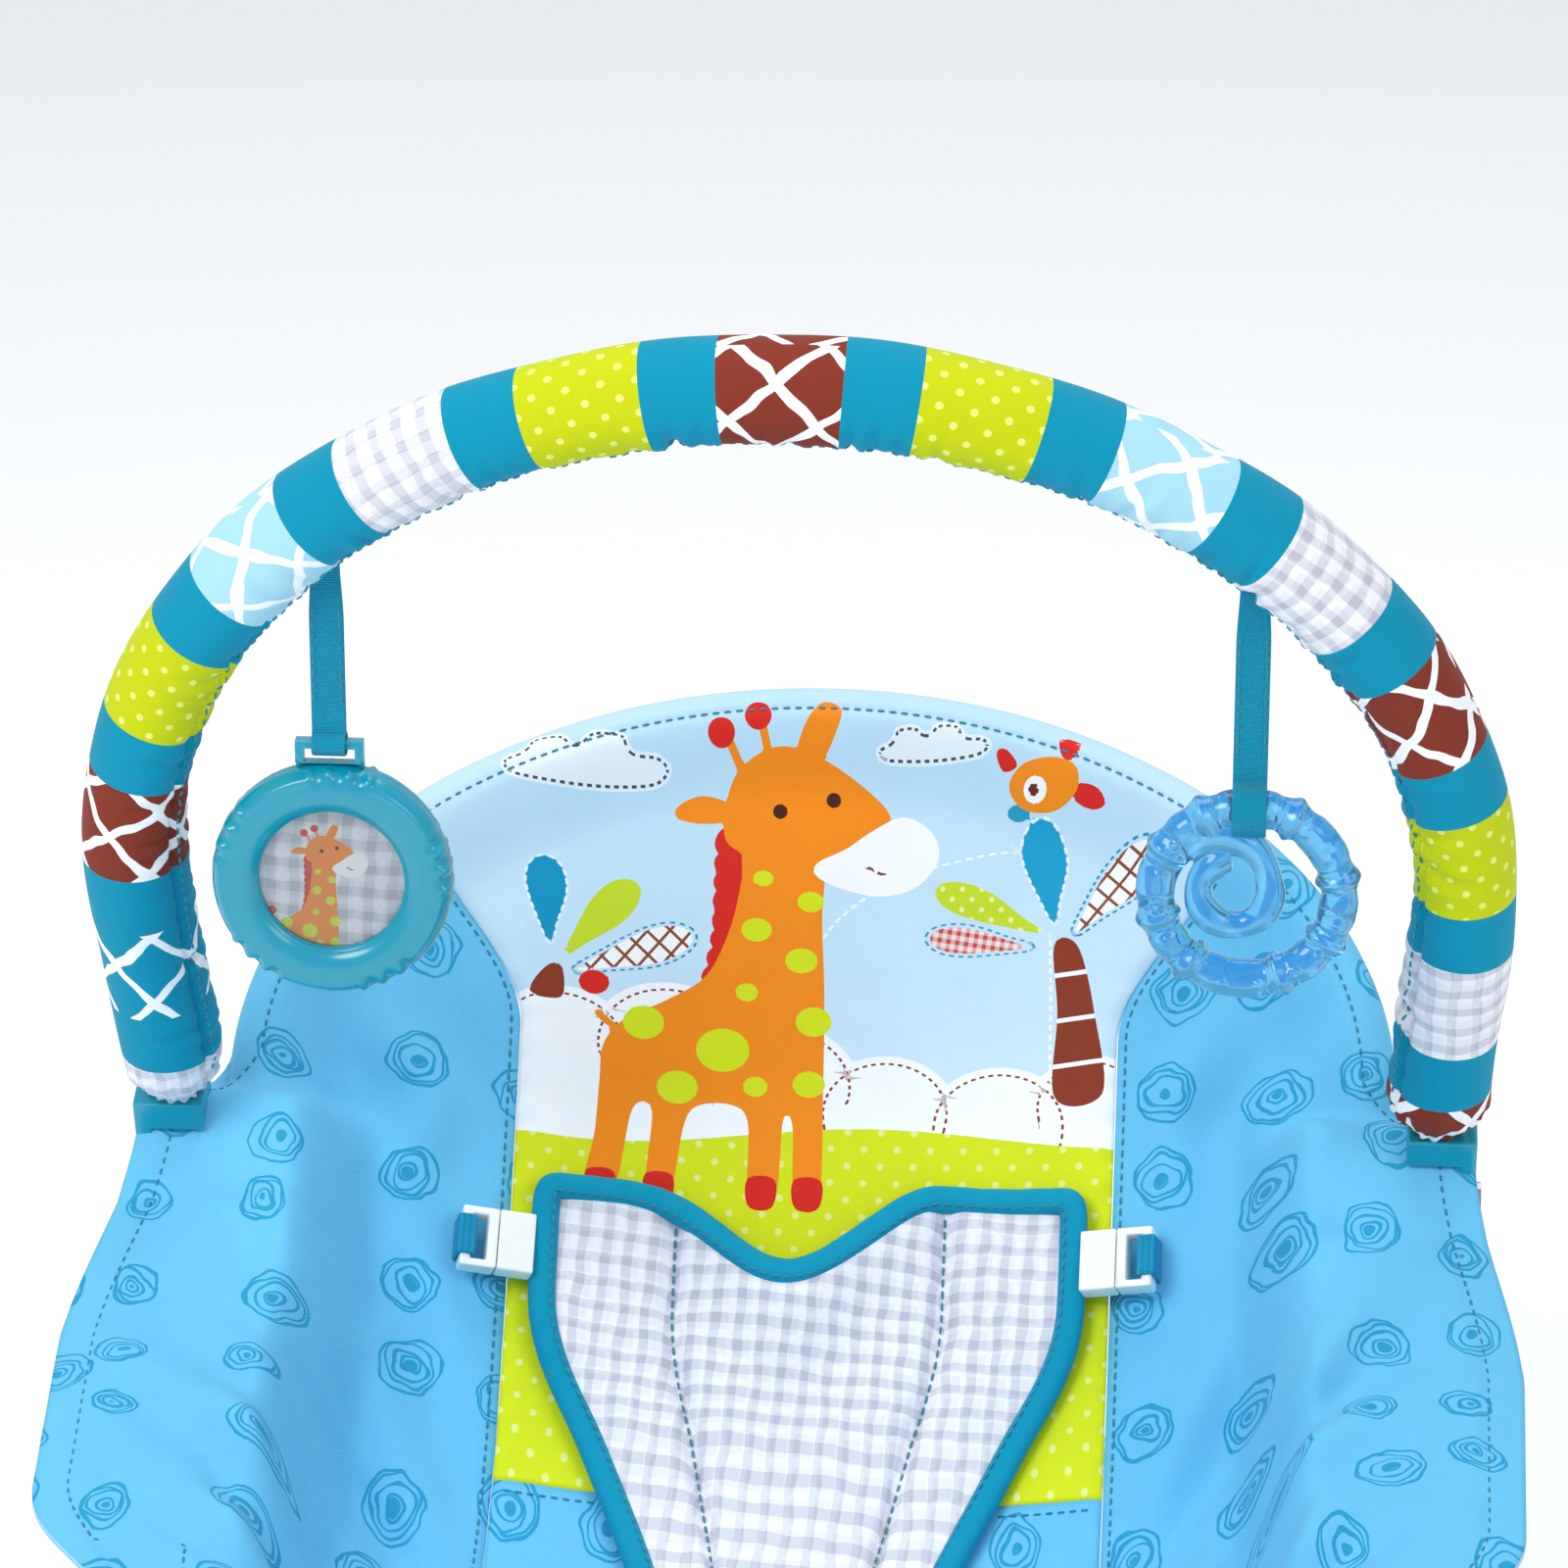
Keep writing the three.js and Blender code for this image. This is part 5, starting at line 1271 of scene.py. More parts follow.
def bar_skin(u, phi):
    """Radius of the sleeve: cross wrinkles on the inner side, a sunk seam, and gathered ends."""
    random = np.random.RandomState(11)
    radius = np.full(u.shape, BAR_COVER_RADIUS, float)
    radius += 0.35 * np.sin(u / 31 + 1.0) + 0.3 * np.sin(u / 11.7 + 2 * np.sin(phi))
    inner = (1 - np.cos(phi)) / 2
    for _ in range(CREASES):
        at = random.uniform(-bar_half, bar_half)
        turn = math.pi + random.uniform(-1.5, 1.5)
        reach = random.uniform(0.35, 0.95)
        wide = random.uniform(1.5, 3.2)
        depth = random.uniform(0.5, 1.5)
        lean = random.uniform(-5, 5)
        rows = np.abs(u[:, 0] - at) < 26
        du = u[rows] - at - lean * (phi[rows] - turn)
        spread = np.exp(-(((phi[rows] - turn) / reach) ** 2)) * inner[rows]
        radius[rows] -= depth * spread * np.exp(-((du / wide) ** 2))
        radius[rows] += 0.55 * depth * spread * np.exp(-(((np.abs(du) - 2.1 * wide) / (1.1 * wide)) ** 2))
    away = phi - SEAM_TURN
    pucker = 0.5 + 0.5 * np.sin(u / 1.75 + 1.1 * np.sin(u / 17))
    radius -= 1.9 * np.exp(-((away / 0.075) ** 2))
    radius -= 0.8 * pucker * np.exp(-((away / 0.30) ** 2))
    from_end = bar_half - np.abs(u)
    shut = 1 - eased(from_end, 0, 15)
    gathers = 0.9 * np.sin(13 * phi + np.sin(u)) * (1 - eased(from_end, 2, 24))
    return radius - 7.6 * shut**1.6 + gathers


phi_columns = np.linspace(0, 2 * math.pi, 121)
u_grid, phi_grid = np.meshgrid(bar_rows, phi_columns, indexing="ij")
bar_middle = np.column_stack([np.interp(bar_rows, bar_run, bar_points[:, k]) for k in range(3)])
bar_along = np.gradient(bar_middle, axis=0)
bar_along /= np.linalg.norm(bar_along, axis=1)[:, None]
bar_out = np.cross(BAR_FACE, bar_along)
skin = bar_skin(u_grid, phi_grid)
arms = np.cos(phi_grid)[..., None] * bar_out[:, None] + np.sin(phi_grid)[..., None] * BAR_FACE
bar_surface = bar_middle[:, None] + skin[..., None] * arms
bar_surface[:, -1] = bar_surface[:, 0]
bar_plan = np.stack([u_grid, BAR_COVER_RADIUS * phi_grid], -1) * MM
kinds = list(BAND_CLOTH)
band_slot = np.array([kinds.index(bands[k]) for k in row_band])
bar_cover = grid_piece("toy_bar_sleeve", bar_surface, bar_plan, [BAND_CLOTH[k] for k in kinds], band_slot)
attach(bar_cover, "toy_bar")
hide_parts("toy_bar_cover", "toy_bar_padding")

bar_seam_skin = bar_skin(bar_rows[:, None] + np.zeros((1, 1)), np.full((len(bar_rows), 1), SEAM_TURN + 0.16))
seam_arm = math.cos(SEAM_TURN + 0.16) * bar_out + math.sin(SEAM_TURN + 0.16) * BAR_FACE
stitches("toy_bar_stitches", [((bar_middle + bar_seam_skin * seam_arm)[8:-8], seam_arm[8:-8])], bar_thread,
         "toy_bar")

# ------------------------------------------------------------ the restraint
# A padded panel in a grey check comes up between the legs. It is quilted in three lengths by two rows of
# stitches and bound in teal along its sides and its top edge, which hangs open a little in the middle.
RESTRAINT_TOP = 177
RESTRAINT_LOW = 440
RESTRAINT_HALF = 101
RESTRAINT_WAIST = 46
RESTRAINT_THICK = 8
CHANNEL = 0.5
BINDING = 5.2


def restraint_half(s):
    """Half width of the restraint."""
    return RESTRAINT_HALF - (RESTRAINT_HALF - RESTRAINT_WAIST) * eased(s, 222, 346)


def restraint_top(share):
    """How far down the back its top edge lies, from -1 at the left to 1 at the right."""
    dip = np.exp(-(((share + 0.08) / 0.34) ** 2))
    shoulder = np.exp(-(((share - 0.42) / 0.13) ** 2))
    return RESTRAINT_TOP + 31 * dip - 3 * shoulder + 2.5 * np.abs(share) ** 3


def restraint_point(share, down, height):
    """A place on the restraint; down runs from 0 at the top edge to 1 between the legs."""
    top = restraint_top(share)
    s = top + (RESTRAINT_LOW - top) * down
    x = share * restraint_half(s)
    gape = 7.5 * np.exp(-(((share + 0.08) / 0.42) ** 2)) * (1 - eased(s - top, 0, 48))
    sides = 3.0 * eased(np.abs(share), 0.72, 1.0) * (1 - eased(s, 215, 262))
    points = cover_point(x, s)
    away = cover_point(x, s, -1.0) - points
    away /= np.linalg.norm(away, axis=-1)[..., None]
    return points + away * (1.2 + gape + sides + height)[..., None], x, s


shares = np.sin(np.linspace(-math.pi / 2, math.pi / 2, 111))
downs = np.linspace(0, 1, 130) ** 1.15
down_grid, share_grid = np.meshgrid(downs, shares, indexing="ij")
quilt_gap = np.abs(np.abs(share_grid) - CHANNEL)
plump = np.sqrt(np.clip(1 - share_grid**8, 0, 1))
plump = plump * (1 - 0.72 * np.exp(-((quilt_gap / 0.035) ** 2)) - 0.12 * np.exp(-((quilt_gap / 0.11) ** 2)))
edge_share = eased(down_grid, 0, 0.05) * 0.35 + 0.65
across_creases = 0.5 * np.sin(down_grid * 47 + 3 * share_grid) * np.exp(-((quilt_gap / 0.09) ** 2))
ripple = 0.45 * np.sin(down_grid * 19 + 2.2 * np.sin(share_grid * 5.0))
upper, plan_x, plan_s = restraint_point(share_grid, down_grid,
                                        RESTRAINT_THICK * plump * edge_share + across_creases + ripple)
lower, _, _ = restraint_point(share_grid, down_grid, 0 * share_grid)
for end in (0, -1):
    upper[end] = (upper[end] + lower[end]) / 2
    lower[end] = upper[end]
quilt = np.concatenate([upper, lower[:, ::-1], upper[:, :1]], axis=1)
quilt_plan = np.stack([plan_x, HEAD_LENGTH - plan_s], -1)
quilt_plan = np.concatenate([quilt_plan, quilt_plan[:, ::-1], quilt_plan[:, :1]], axis=1) * MM
check_cloth = woven("check_cloth", "#E4E4EC", paint=plaid_paint)
quilted = grid_piece("restraint_panel", quilt, quilt_plan, [check_cloth])
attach(quilted, "seat")
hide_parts("crotch_panel")

binding_cloth = woven("binding_cloth", "#0091B2", roughness=0.74)


def binding_track():
    """Round the restraint's edge: up the left side, along the top and down the right side."""
    down = np.linspace(0.97, 0, 90)
    parts = [(-np.ones(90), down), (np.linspace(-1, 1, 120)[1:-1], np.zeros(118)), (np.ones(90), down[::-1])]
    share = np.concatenate([p[0] for p in parts])
    drop = np.concatenate([p[1] for p in parts])
    middle, _, _ = restraint_point(share, drop, np.full(len(share), 3.1))
    raised, _, _ = restraint_point(share, drop, np.full(len(share), 4.1))
    smooth = middle.copy()
    for _ in range(6):
        smooth[1:-1] = (smooth[:-2] + smooth[1:-1] + smooth[2:]) / 3
    return smooth, (raised - middle)


binding_line, binding_up = binding_track()
binding_run = lengths(binding_line)
binding_along = np.gradient(binding_line, axis=0)
binding_along /= np.linalg.norm(binding_along, axis=1)[:, None]
binding_in = np.cross(binding_along, binding_up)
binding_in /= np.linalg.norm(binding_in, axis=1)[:, None]
binding_up = np.cross(binding_in, binding_along)
turns = np.linspace(0, 2 * math.pi, 33)
flat_in = np.sign(np.cos(turns)) * np.abs(np.cos(turns)) ** 0.7 * BINDING
flat_up = np.sign(np.sin(turns)) * np.abs(np.sin(turns)) ** 0.8
crimp = 0.28 * np.sin(binding_run / 2.1)[:, None] * np.exp(-(((flat_in + 3.4) / 2.2) ** 2))[None]
swell = 4.3 + 0.25 * np.sin(binding_run / 13)[:, None]
binding_grid = binding_line[:, None] + (flat_in[None] + 2.0)[..., None] * binding_in[:, None]
binding_grid = binding_grid + (flat_up[None] * swell - crimp)[..., None] * binding_up[:, None]
binding_along_plan = np.broadcast_to(binding_run[:, None], crimp.shape)
binding_plan = np.stack([binding_along_plan, 6 * turns[None] + 0 * crimp], -1) * MM
binding = grid_piece("restraint_binding", binding_grid, binding_plan, [binding_cloth])
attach(binding, "seat")

quilt_lines = []
for sign in (-1, 1):
    down = np.linspace(0.03, 0.97, 120)
    share = np.full(120, sign * CHANNEL)
    low, _, _ = restraint_point(share, down, np.full(120, 0.28 * RESTRAINT_THICK))
    high, _, _ = restraint_point(share, down, np.full(120, 1 + 0.28 * RESTRAINT_THICK))
    quilt_lines.append((low + 0.5 * (high - low), high - low))
quilt_lines.append((binding_line + 3.9 * binding_up + 5.4 * binding_in, binding_up))
stitches("restraint_stitches", quilt_lines, teal_thread, "seat")

# ------------------------------------------------------------ plastics and metals
# Hubs, clips and the mirror's rim are glossy injection-moulded teal plastic; the buckles are white acetal.
# Fasteners are zinc-plated steel. Each finish carries faint wear and the fine texture of its mould.


def plastic(name, colour, roughness, coat=0.0, grain=700.0, depth=0.00003, **constants):
    """A moulded surface with faint wear."""
    material, tree = finish(name, colour, roughness, Coat_Weight=coat, Coat_Roughness=0.12, **constants)
    handled = speckle(tree, 34, 5, 0.6)
    lead(tree, "Base Color", shaded(tree, linear(colour), 0.94, 1.05, handled))
    lead(tree, "Roughness", ranged(tree, handled, max(0.03, roughness - 0.05), roughness + 0.07))
    skin = maths(tree, "ADD", speckle(tree, grain, 2), maths(tree, "MULTIPLY", speckle(tree, 60, 2), 1.5))
    embossed(tree, skin, depth, 0.7)
    return material


teal_plastic = plastic("teal_plastic", "#0093AE", 0.24, coat=0.35, Subsurface_Weight=0.04)
white_plastic = plastic("white_plastic", "#F1F1EC", 0.34, coat=0.2, Subsurface_Weight=0.05)
pale_plastic = plastic("pale_plastic", "#C9D2D8", 0.4, coat=0.1)
black_rubber = plastic("black_rubber", "#3A4145", 0.8, grain=350, depth=0.00008)
plated_steel = plastic("plated_steel", "#B7BABD", 0.28, grain=1500, Metallic=1.0)
board_lacquer = plastic("board_lacquer", "#22633C", 0.38, coat=0.3, depth=0.00006)
cell_sleeve = plastic("cell_sleeve", "#3C3D44", 0.3, coat=0.3, Metallic=0.3)


def softened(node, name, material, body, width=0.8, segments=3):
    """A moulded piece: its CAD node's shape with rounded edges."""
    mesh = bpy.data.objects[node].data.copy()
    mesh.materials.clear()
    piece = bpy.data.objects.new(name, mesh)
    bpy.context.collection.objects.link(piece)
    mesh.materials.append(material)
    shape = bmesh.new()
    shape.from_mesh(mesh)
    bmesh.ops.remove_doubles(shape, verts=shape.verts, dist=1e-5)
    bmesh.ops.dissolve_limit(shape, angle_limit=math.radians(1.5), verts=shape.verts, edges=shape.edges)
    bmesh.ops.recalc_face_normals(shape, faces=shape.faces)
    shape.to_mesh(mesh)
    shape.free()
    bpy.ops.object.select_all(action="DESELECT")
    piece.select_set(True)
    bpy.context.view_layer.objects.active = piece
    bevel = piece.modifiers.new("rounding", "BEVEL")
    bevel.width = width * MM
    bevel.segments = segments
    bevel.limit_method = "ANGLE"
    bevel.angle_limit = math.radians(32)
    bpy.ops.object.modifier_apply(modifier=bevel.name)
    bpy.ops.object.shade_smooth_by_angle(angle=math.radians(40))
    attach(piece, body)
    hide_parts(node)
    return piece


def dressed(node, material):
    """Gives a node of the CAD its finish."""
    thing = bpy.data.objects[node]
    thing.data.materials.clear()
    thing.data.materials.append(material)


# ------------------------------------------------------------ feet, couplers and hubs
# Rubber feet are pushed on the floor rails. Each coupler joins a riser to its upturned rail end. A hub is
# two moulded halves round the ends of the hoop and the riser, held by two screws and the pivot's pin.
for side, _ in SIDES:
    for end in ("front", "rear"):
        node = f"foot_{end}_{side}"
        softened(node, f"rubber_{node}", black_rubber, "base", 1.6, 4)
    softened(f"frame_coupler_{side}", f"coupler_{side}", teal_plastic, "base", 1.4, 3)
    softened(f"hub_inner_{side}", f"hub_inside_{side}", teal_plastic, "seat", 2.2, 4)
    softened(f"hub_outer_{side}", f"hub_outside_{side}", teal_plastic, "seat", 2.2, 4)
    softened(f"toy_bar_clip_{side}", f"bar_clip_{side}", teal_plastic, "toy_bar", 1.2, 3)
    for screw in (1, 2):
        dressed(f"hub_screw_{screw}_{side}", plated_steel)
    dressed(f"pivot_pin_{side}", plated_steel)
dressed("toy_bar_core", powder_coat)

# ------------------------------------------------------------ buckles and belts
# At each side of the restraint a short belt of ribbed webbing ends in a white side-release buckle. The
# frame is sewn to the restraint's corner; the clip slides out of it with the belt.
for side, sign in SIDES:
    softened(f"female_buckle_{side}", f"buckle_frame_{side}", white_plastic, "seat", 1.3, 4)
    softened(f"male_buckle_{side}", f"buckle_clip_{side}", white_plastic, f"{side}_belt_clip",
             0.9, 3)

# ------------------------------------------------------------ straps and belts
# Each toy hangs on a woven teal ribbon that is sewn into the cover's seam and loops round the toy. The
# belts are ribbed webbing: short loops round the outer bars of the buckles.
RIBBON_HALF = 6.0
RIBBON_SKIN = 1.1
STRAP_X = 160.146
STRAP_Y = -36.088
STRAP_Z = 500.95
MIRROR_LOOP = (436.95, 3.35)
TEETHER_LOOP = (421.95, 9.16)


def ribbed(name, colour, pitch):
    """Webbing: ribs across its length over a fine weave."""
    material, tree = finish(name, colour, 0.66, Sheen_Weight=0.08, Specular_IOR_Level=0.2)
    place = cloth_place(tree)
    along = put(tree, "SeparateXYZ", {0: place})
    across = along.node.outputs[1]
    rib = maths(tree, "SINE", maths(tree, "MULTIPLY", along, 2 * math.pi / pitch))
    thread = maths(tree, "SINE", maths(tree, "MULTIPLY", across, 2 * math.pi / 0.0009))
    uneven = speckle(tree, 60, 4)
    shade = shaded(tree, linear(colour), 0.86, 1.08, uneven)
    tone = ranged(tree, put(tree, "Math", {0: rib, 1: 0.5, 2: 0.5}, operation="MULTIPLY_ADD"), 0.84, 1.05)
    tone = put(tree, "CombineColor", {0: tone, 1: tone, 2: tone})
    lead(tree, "Base Color", mixed(tree, 1.0, shade, tone, "MULTIPLY"))
    embossed(tree, maths(tree, "ADD", rib, maths(tree, "MULTIPLY", thread, 0.4)), 0.00022, 1.0)
    return material


ribbon_weave = ribbed("ribbon_weave", "#009EC2", 0.0009)
belt_weave = ribbed("belt_weave", "#0094BE", 0.0024)


def ribbon(name, path, sideways, half, skin, material, twist=0.0, waist=0.0):
    """A flat ribbon along a path; its width runs along sideways and turns by twist half way."""
    run = lengths(path)
    along = np.gradient(path, axis=0)
    along /= np.linalg.norm(along, axis=1)[:, None]
    flat = np.array(sideways, float)[None] - along * (along @ np.array(sideways, float))[:, None]
    flat /= np.linalg.norm(flat, axis=1)[:, None]
    face = np.cross(along, flat)
    angle = twist * np.sin(np.pi * run / run[-1]) ** 2
    wide = np.cos(angle)[:, None] * flat + np.sin(angle)[:, None] * face
    thick = np.cross(along, wide)
    turns = np.linspace(0, 2 * math.pi, 29)
    ring_x = np.sign(np.cos(turns)) * np.abs(np.cos(turns)) ** 0.35
    ring_y = np.sign(np.sin(turns)) * np.abs(np.sin(turns)) ** 0.6
    from_end = np.minimum(run, run[-1] - run)
    narrow = half * (1 - waist * (1 - eased(from_end, 0, 22)))
    crown = skin / 2 * (1 + 0.25 * np.exp(-(((np.abs(ring_x) - 0.86) / 0.1) ** 2)))
    points = path[:, None] + (narrow[:, None] * ring_x[None])[..., None] * wide[:, None]
    points = points + (crown * ring_y)[None, :, None] * thick[:, None]
    along_plan = np.broadcast_to(run[:, None], points.shape[:2])
    plan = np.stack([along_plan, narrow[:, None] * ring_x[None]], -1) * MM
    return grid_piece(name, points, plan, [material])


def hanging_path(loop_z, loop_inner):
    """Down the front, round the loop and up the back."""
    radius = loop_inner + RIBBON_SKIN / 2 + 0.1
    half = RIBBON_SKIN / 2 + 0.12
    join = math.asin(half / radius)
    down = np.linspace(0, 1, 50)[:-1]
    top, low = 3.0, loop_z - STRAP_Z + radius * math.cos(join)
    front = [(-half, top + (low - top) * k) for k in down]
    turns = np.linspace(math.pi / 2 + join, 2.5 * math.pi - join, 60)
    round_loop = [(radius * math.cos(t), loop_z - STRAP_Z + radius * math.sin(t)) for t in turns]
    back = [(half, low + (top - low) * k) for k in down[1:]] + [(half, top)]
    flat = np.array(front + round_loop + back)
    for _ in range(3):
        flat[1:-1] = (flat[:-2] + 2 * flat[1:-1] + flat[2:]) / 4
    return flat


for (side, sign), (loop_z, loop_inner) in zip(SIDES, (MIRROR_LOOP, TEETHER_LOOP)):
    flat = hanging_path(loop_z, loop_inner)
    path = np.column_stack([np.full(len(flat), sign * STRAP_X), STRAP_Y + flat[:, 0], STRAP_Z + flat[:, 1]])
    strap = ribbon(f"ribbon_{side}", path, (1, 0, 0), RIBBON_HALF, RIBBON_SKIN, ribbon_weave, waist=0.16)
    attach(strap, f"{side}_toy_strap")
    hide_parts(f"toy_strap_{side}")
    lines = []
    rows = path[12:44]
    count = len(rows)
    for edge in (-1, 1):
        narrow = (RIBBON_HALF - 1.3) * (1 - 0.16 * (1 - eased(15 + lengths(rows), 0, 22)))
        shift = rows + np.column_stack([edge * narrow, np.full(count, -RIBBON_SKIN / 2), np.zeros(count)])
        lines.append((shift, np.tile([0.0, -1.0, 0.0], (count, 1))))
    stitches(f"ribbon_stitches_{side}", lines, teal_thread, f"{side}_toy_strap")

BUCKLE_ROW = 206
BUCKLE_OFFSET = 119
BUCKLE_LIFT = 10.2
BELT_NEAR, BELT_FAR, BELT_RISE, BELT_CORNER = 9.2, 15.0, 4.9, 1.2
BELT_HALF, BELT_SKIN = 8.0, 1.5


def buckle_axes(sign):
    """Origin, outward, across and upward directions of a buckle over the cover."""
    def bucket(x):
        """A place on the sunk cover across the buckles' row."""
        y, z, ny, nz = side_line(BUCKLE_ROW)
        slump = BUCKET_DEPTH * math.sin(math.pi * (BUCKLE_ROW / HOOP_LENGTH) ** BUCKET_SLUMP)
        sunk = slump * (1 - min(1.0, abs(x) / SEAT_HALF_WIDTH) ** BUCKET_SHAPE)
        return np.array([x, float(y - ny * sunk), float(z - nz * sunk)])

    out = bucket(sign * (BUCKLE_OFFSET + 14)) - bucket(sign * (BUCKLE_OFFSET - 14))
    out /= np.linalg.norm(out)
    headwards = np.array([0, math.cos(RECLINE), math.sin(RECLINE)])
    up = np.cross(out, headwards) * sign
    up /= np.linalg.norm(up)
    return bucket(sign * BUCKLE_OFFSET) + BUCKLE_LIFT * up, out, np.cross(up, out), up


for side, sign in SIDES:
    origin, out, across, up = buckle_axes(sign)
    corners = [(BELT_NEAR, -2), (BELT_NEAR, -BELT_RISE), (BELT_FAR, -BELT_RISE), (BELT_FAR, BELT_RISE),
               (BELT_NEAR, BELT_RISE), (BELT_NEAR, -2.1)]
    flat = rounded_line([(a, b, 0) for a, b in corners], [BELT_CORNER] * 4, 0.6)
    path = origin + flat[:, :1] * out + flat[:, 1:2] * up
    belt = ribbon(f"belt_{side}", path, across, BELT_HALF, BELT_SKIN, belt_weave)
    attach(belt, f"{side}_belt_clip")
    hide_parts(f"waist_belt_{side}")

# ------------------------------------------------------------ the mirror toy A round rim of two
# glossy teal shells with groups of teething ridges.
MIRROR_PLACE = np.array([-STRAP_X, STRAP_Y, 386.95])
MIRROR_RADIUS = 42.5
MIRROR_HALF_DEPTH = 8.5
WINDOW_RADIUS = 25.5
RIDGE_GROUPS = 5
RIDGES = 35
SHELL_GAP = 0.2
CARD_RADIUS, CARD_FRONT, CARD_BACK = 28.0, -1.2, -0.5
GLASS_RADIUS, GLASS_FRONT, GLASS_BACK, GLASS_DOME = 26.4, -2.9, -1.9, 1.2


def rim_shell(name, sense, node):
    """One half of the rim, with ridges on its outer shoulder."""
    t = np.linspace(0, 1, 46)
    theta = np.linspace(0, 2 * math.pi, 361)
    middle = (MIRROR_RADIUS + WINDOW_RADIUS) / 2
    half = (MIRROR_RADIUS - WINDOW_RADIUS) / 2
    t_grid, turn = np.meshgrid(t, theta, indexing="ij")
    radius = middle - half * np.sign(np.cos(np.pi * t_grid)) * np.abs(np.cos(np.pi * t_grid)) ** 0.85
    depth = SHELL_GAP + (MIRROR_HALF_DEPTH - 2 * SHELL_GAP) * np.sin(np.pi * t_grid) ** 0.7
    group = eased(np.cos(RIDGE_GROUPS * turn - 0.6), -0.05, 0.35)
    ridge = (0.5 + 0.5 * np.cos(RIDGES * turn)) ** 1.4 * group
    arc = (1 - group) * np.exp(-(((t_grid - 0.70) / 0.07) ** 2)) * 0.9
    shoulder = np.exp(-(((t_grid - 0.80) / 0.14) ** 2))
    radius = radius + 1.5 * ridge * shoulder - 0.9 * group * shoulder
    depth = depth + (1.1 * ridge * shoulder + arc) * eased(t_grid, 0.4, 0.6)
    bead = np.exp(-(((t_grid - 0.11) / 0.045) ** 2))
    depth = depth + 0.7 * bead
    face = np.stack([radius * np.sin(turn), sense * depth, radius * np.cos(turn)], -1) + MIRROR_PLACE
    split = [np.stack([r * np.sin(turn[:1]), 0 * turn[:1] + sense * SHELL_GAP, r * np.cos(turn[:1])], -1)
             for r in (radius[-1:], radius[:1])]
    rows = np.concatenate([face, split[0] + MIRROR_PLACE, split[1] + MIRROR_PLACE, face[:1]])
    plan = np.zeros(rows.shape[:2] + (2,))
    shell = grid_piece(name, rows, plan, [teal_plastic], caps=False)
    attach(shell, "mirror_toy")
    if node:
        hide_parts(node)
    return shell


rim_shell("mirror_rim_front", -1, "mirror_front_shell")
rim_shell("mirror_rim_back", 1, None)
softened("mirror_back_shell", "mirror_back", teal_plastic, "mirror_toy", 0.7, 3)


def disc_piece(name, radius, y_front, y_back, dome, material, steps=56):
    """A disc facing the foot end; UV is its plan about its middle."""
    r = np.linspace(0.02, radius, steps)
    turns = np.linspace(0, 2 * math.pi, 241)
    r_grid, turn = np.meshgrid(r, turns, indexing="ij")
    bulge = dome * (1 - (r_grid / radius) ** 2)
    front = np.stack([r_grid * np.cos(turn), y_front - bulge, r_grid * np.sin(turn)], -1)
    back = np.stack([r_grid * np.cos(turn), y_back + 0 * bulge, r_grid * np.sin(turn)], -1)[::-1]
    rows = np.concatenate([front, back]) + MIRROR_PLACE
    plan = np.stack([r_grid * np.cos(turn), r_grid * np.sin(turn)], -1) * MM
    return grid_piece(name, rows, np.concatenate([plan, plan[::-1]]), [material])


def card_paint(tree, place):
    """The check with the small giraffe over it."""
    shade = plaid_paint(tree, place)
    for name in ("plants", "body", "marks", "eyes"):
        shade = inked(tree, name, shade)
    return shade


card_paper = woven("card_paper", "#DCDCE4", 0.45, 0.0, card_paint, 0.00001)
card = disc_piece("mirror_card", CARD_RADIUS, CARD_FRONT, CARD_BACK, 0.0, card_paper, 110)
card_spots = uv_of_vertices(card) / MM
card_layers = {name: Layer(card_spots) for name in ("plants", "body", "marks", "eyes")}
mane_layer, body_layer, marks_layer, eyes_layer = card_layers.values()
giraffe(body_layer, mane_layer, marks_layer, eyes_layer, (-3, -13), 0.245)
store_layers(card, card_layers)
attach(card, "mirror_toy")
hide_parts("mirror_print")
clear_window, _ = finish("clear_window", "#F6FBFD", 0.03, Transmission_Weight=1.0, IOR=1.46)
window = disc_piece("mirror_window", GLASS_RADIUS, GLASS_FRONT, GLASS_BACK, GLASS_DOME, clear_window, 20)
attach(window, "mirror_toy")
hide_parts("mirror_lens")

# ------------------------------------------------------------ the teether
# One soft, clear blue ring with cuffs and small knobs; an arm of the same stuff curls up inside it.
TEETHER_PLACE = np.array([STRAP_X, STRAP_Y, 389.95])
TEETHER_RADIUS = 32
TEETHER_TUBE = 6.9
CUFFS = (12, 62, 118, 150, 196, 232, 292, 330)
RING_STEPS = 220
CURL_START, CURL_TURN = math.radians(205), math.radians(470)
CURL_REACH, CURL_DRAWN_IN, CURL_TUBE = 31, 18.5, 5.3
KNOBS = 16
KNOB_RADIUS = 1.7


def fat_tube(line, radii, sides=28):
    """Rings of points of a tube of changing radius round a line in the toy's plane."""
    tangents = np.gradient(line, axis=0)
    tangents /= np.linalg.norm(tangents, axis=1)[:, None]
    face = np.array([0, -1.0, 0])
    out = np.cross(tangents, face)
    turns = np.linspace(0, 2 * math.pi, sides, endpoint=False)
    arms = np.cos(turns)[None, :, None] * out[:, None] + np.sin(turns)[None, :, None] * face
    return line[:, None] + radii[:, None, None] * arms


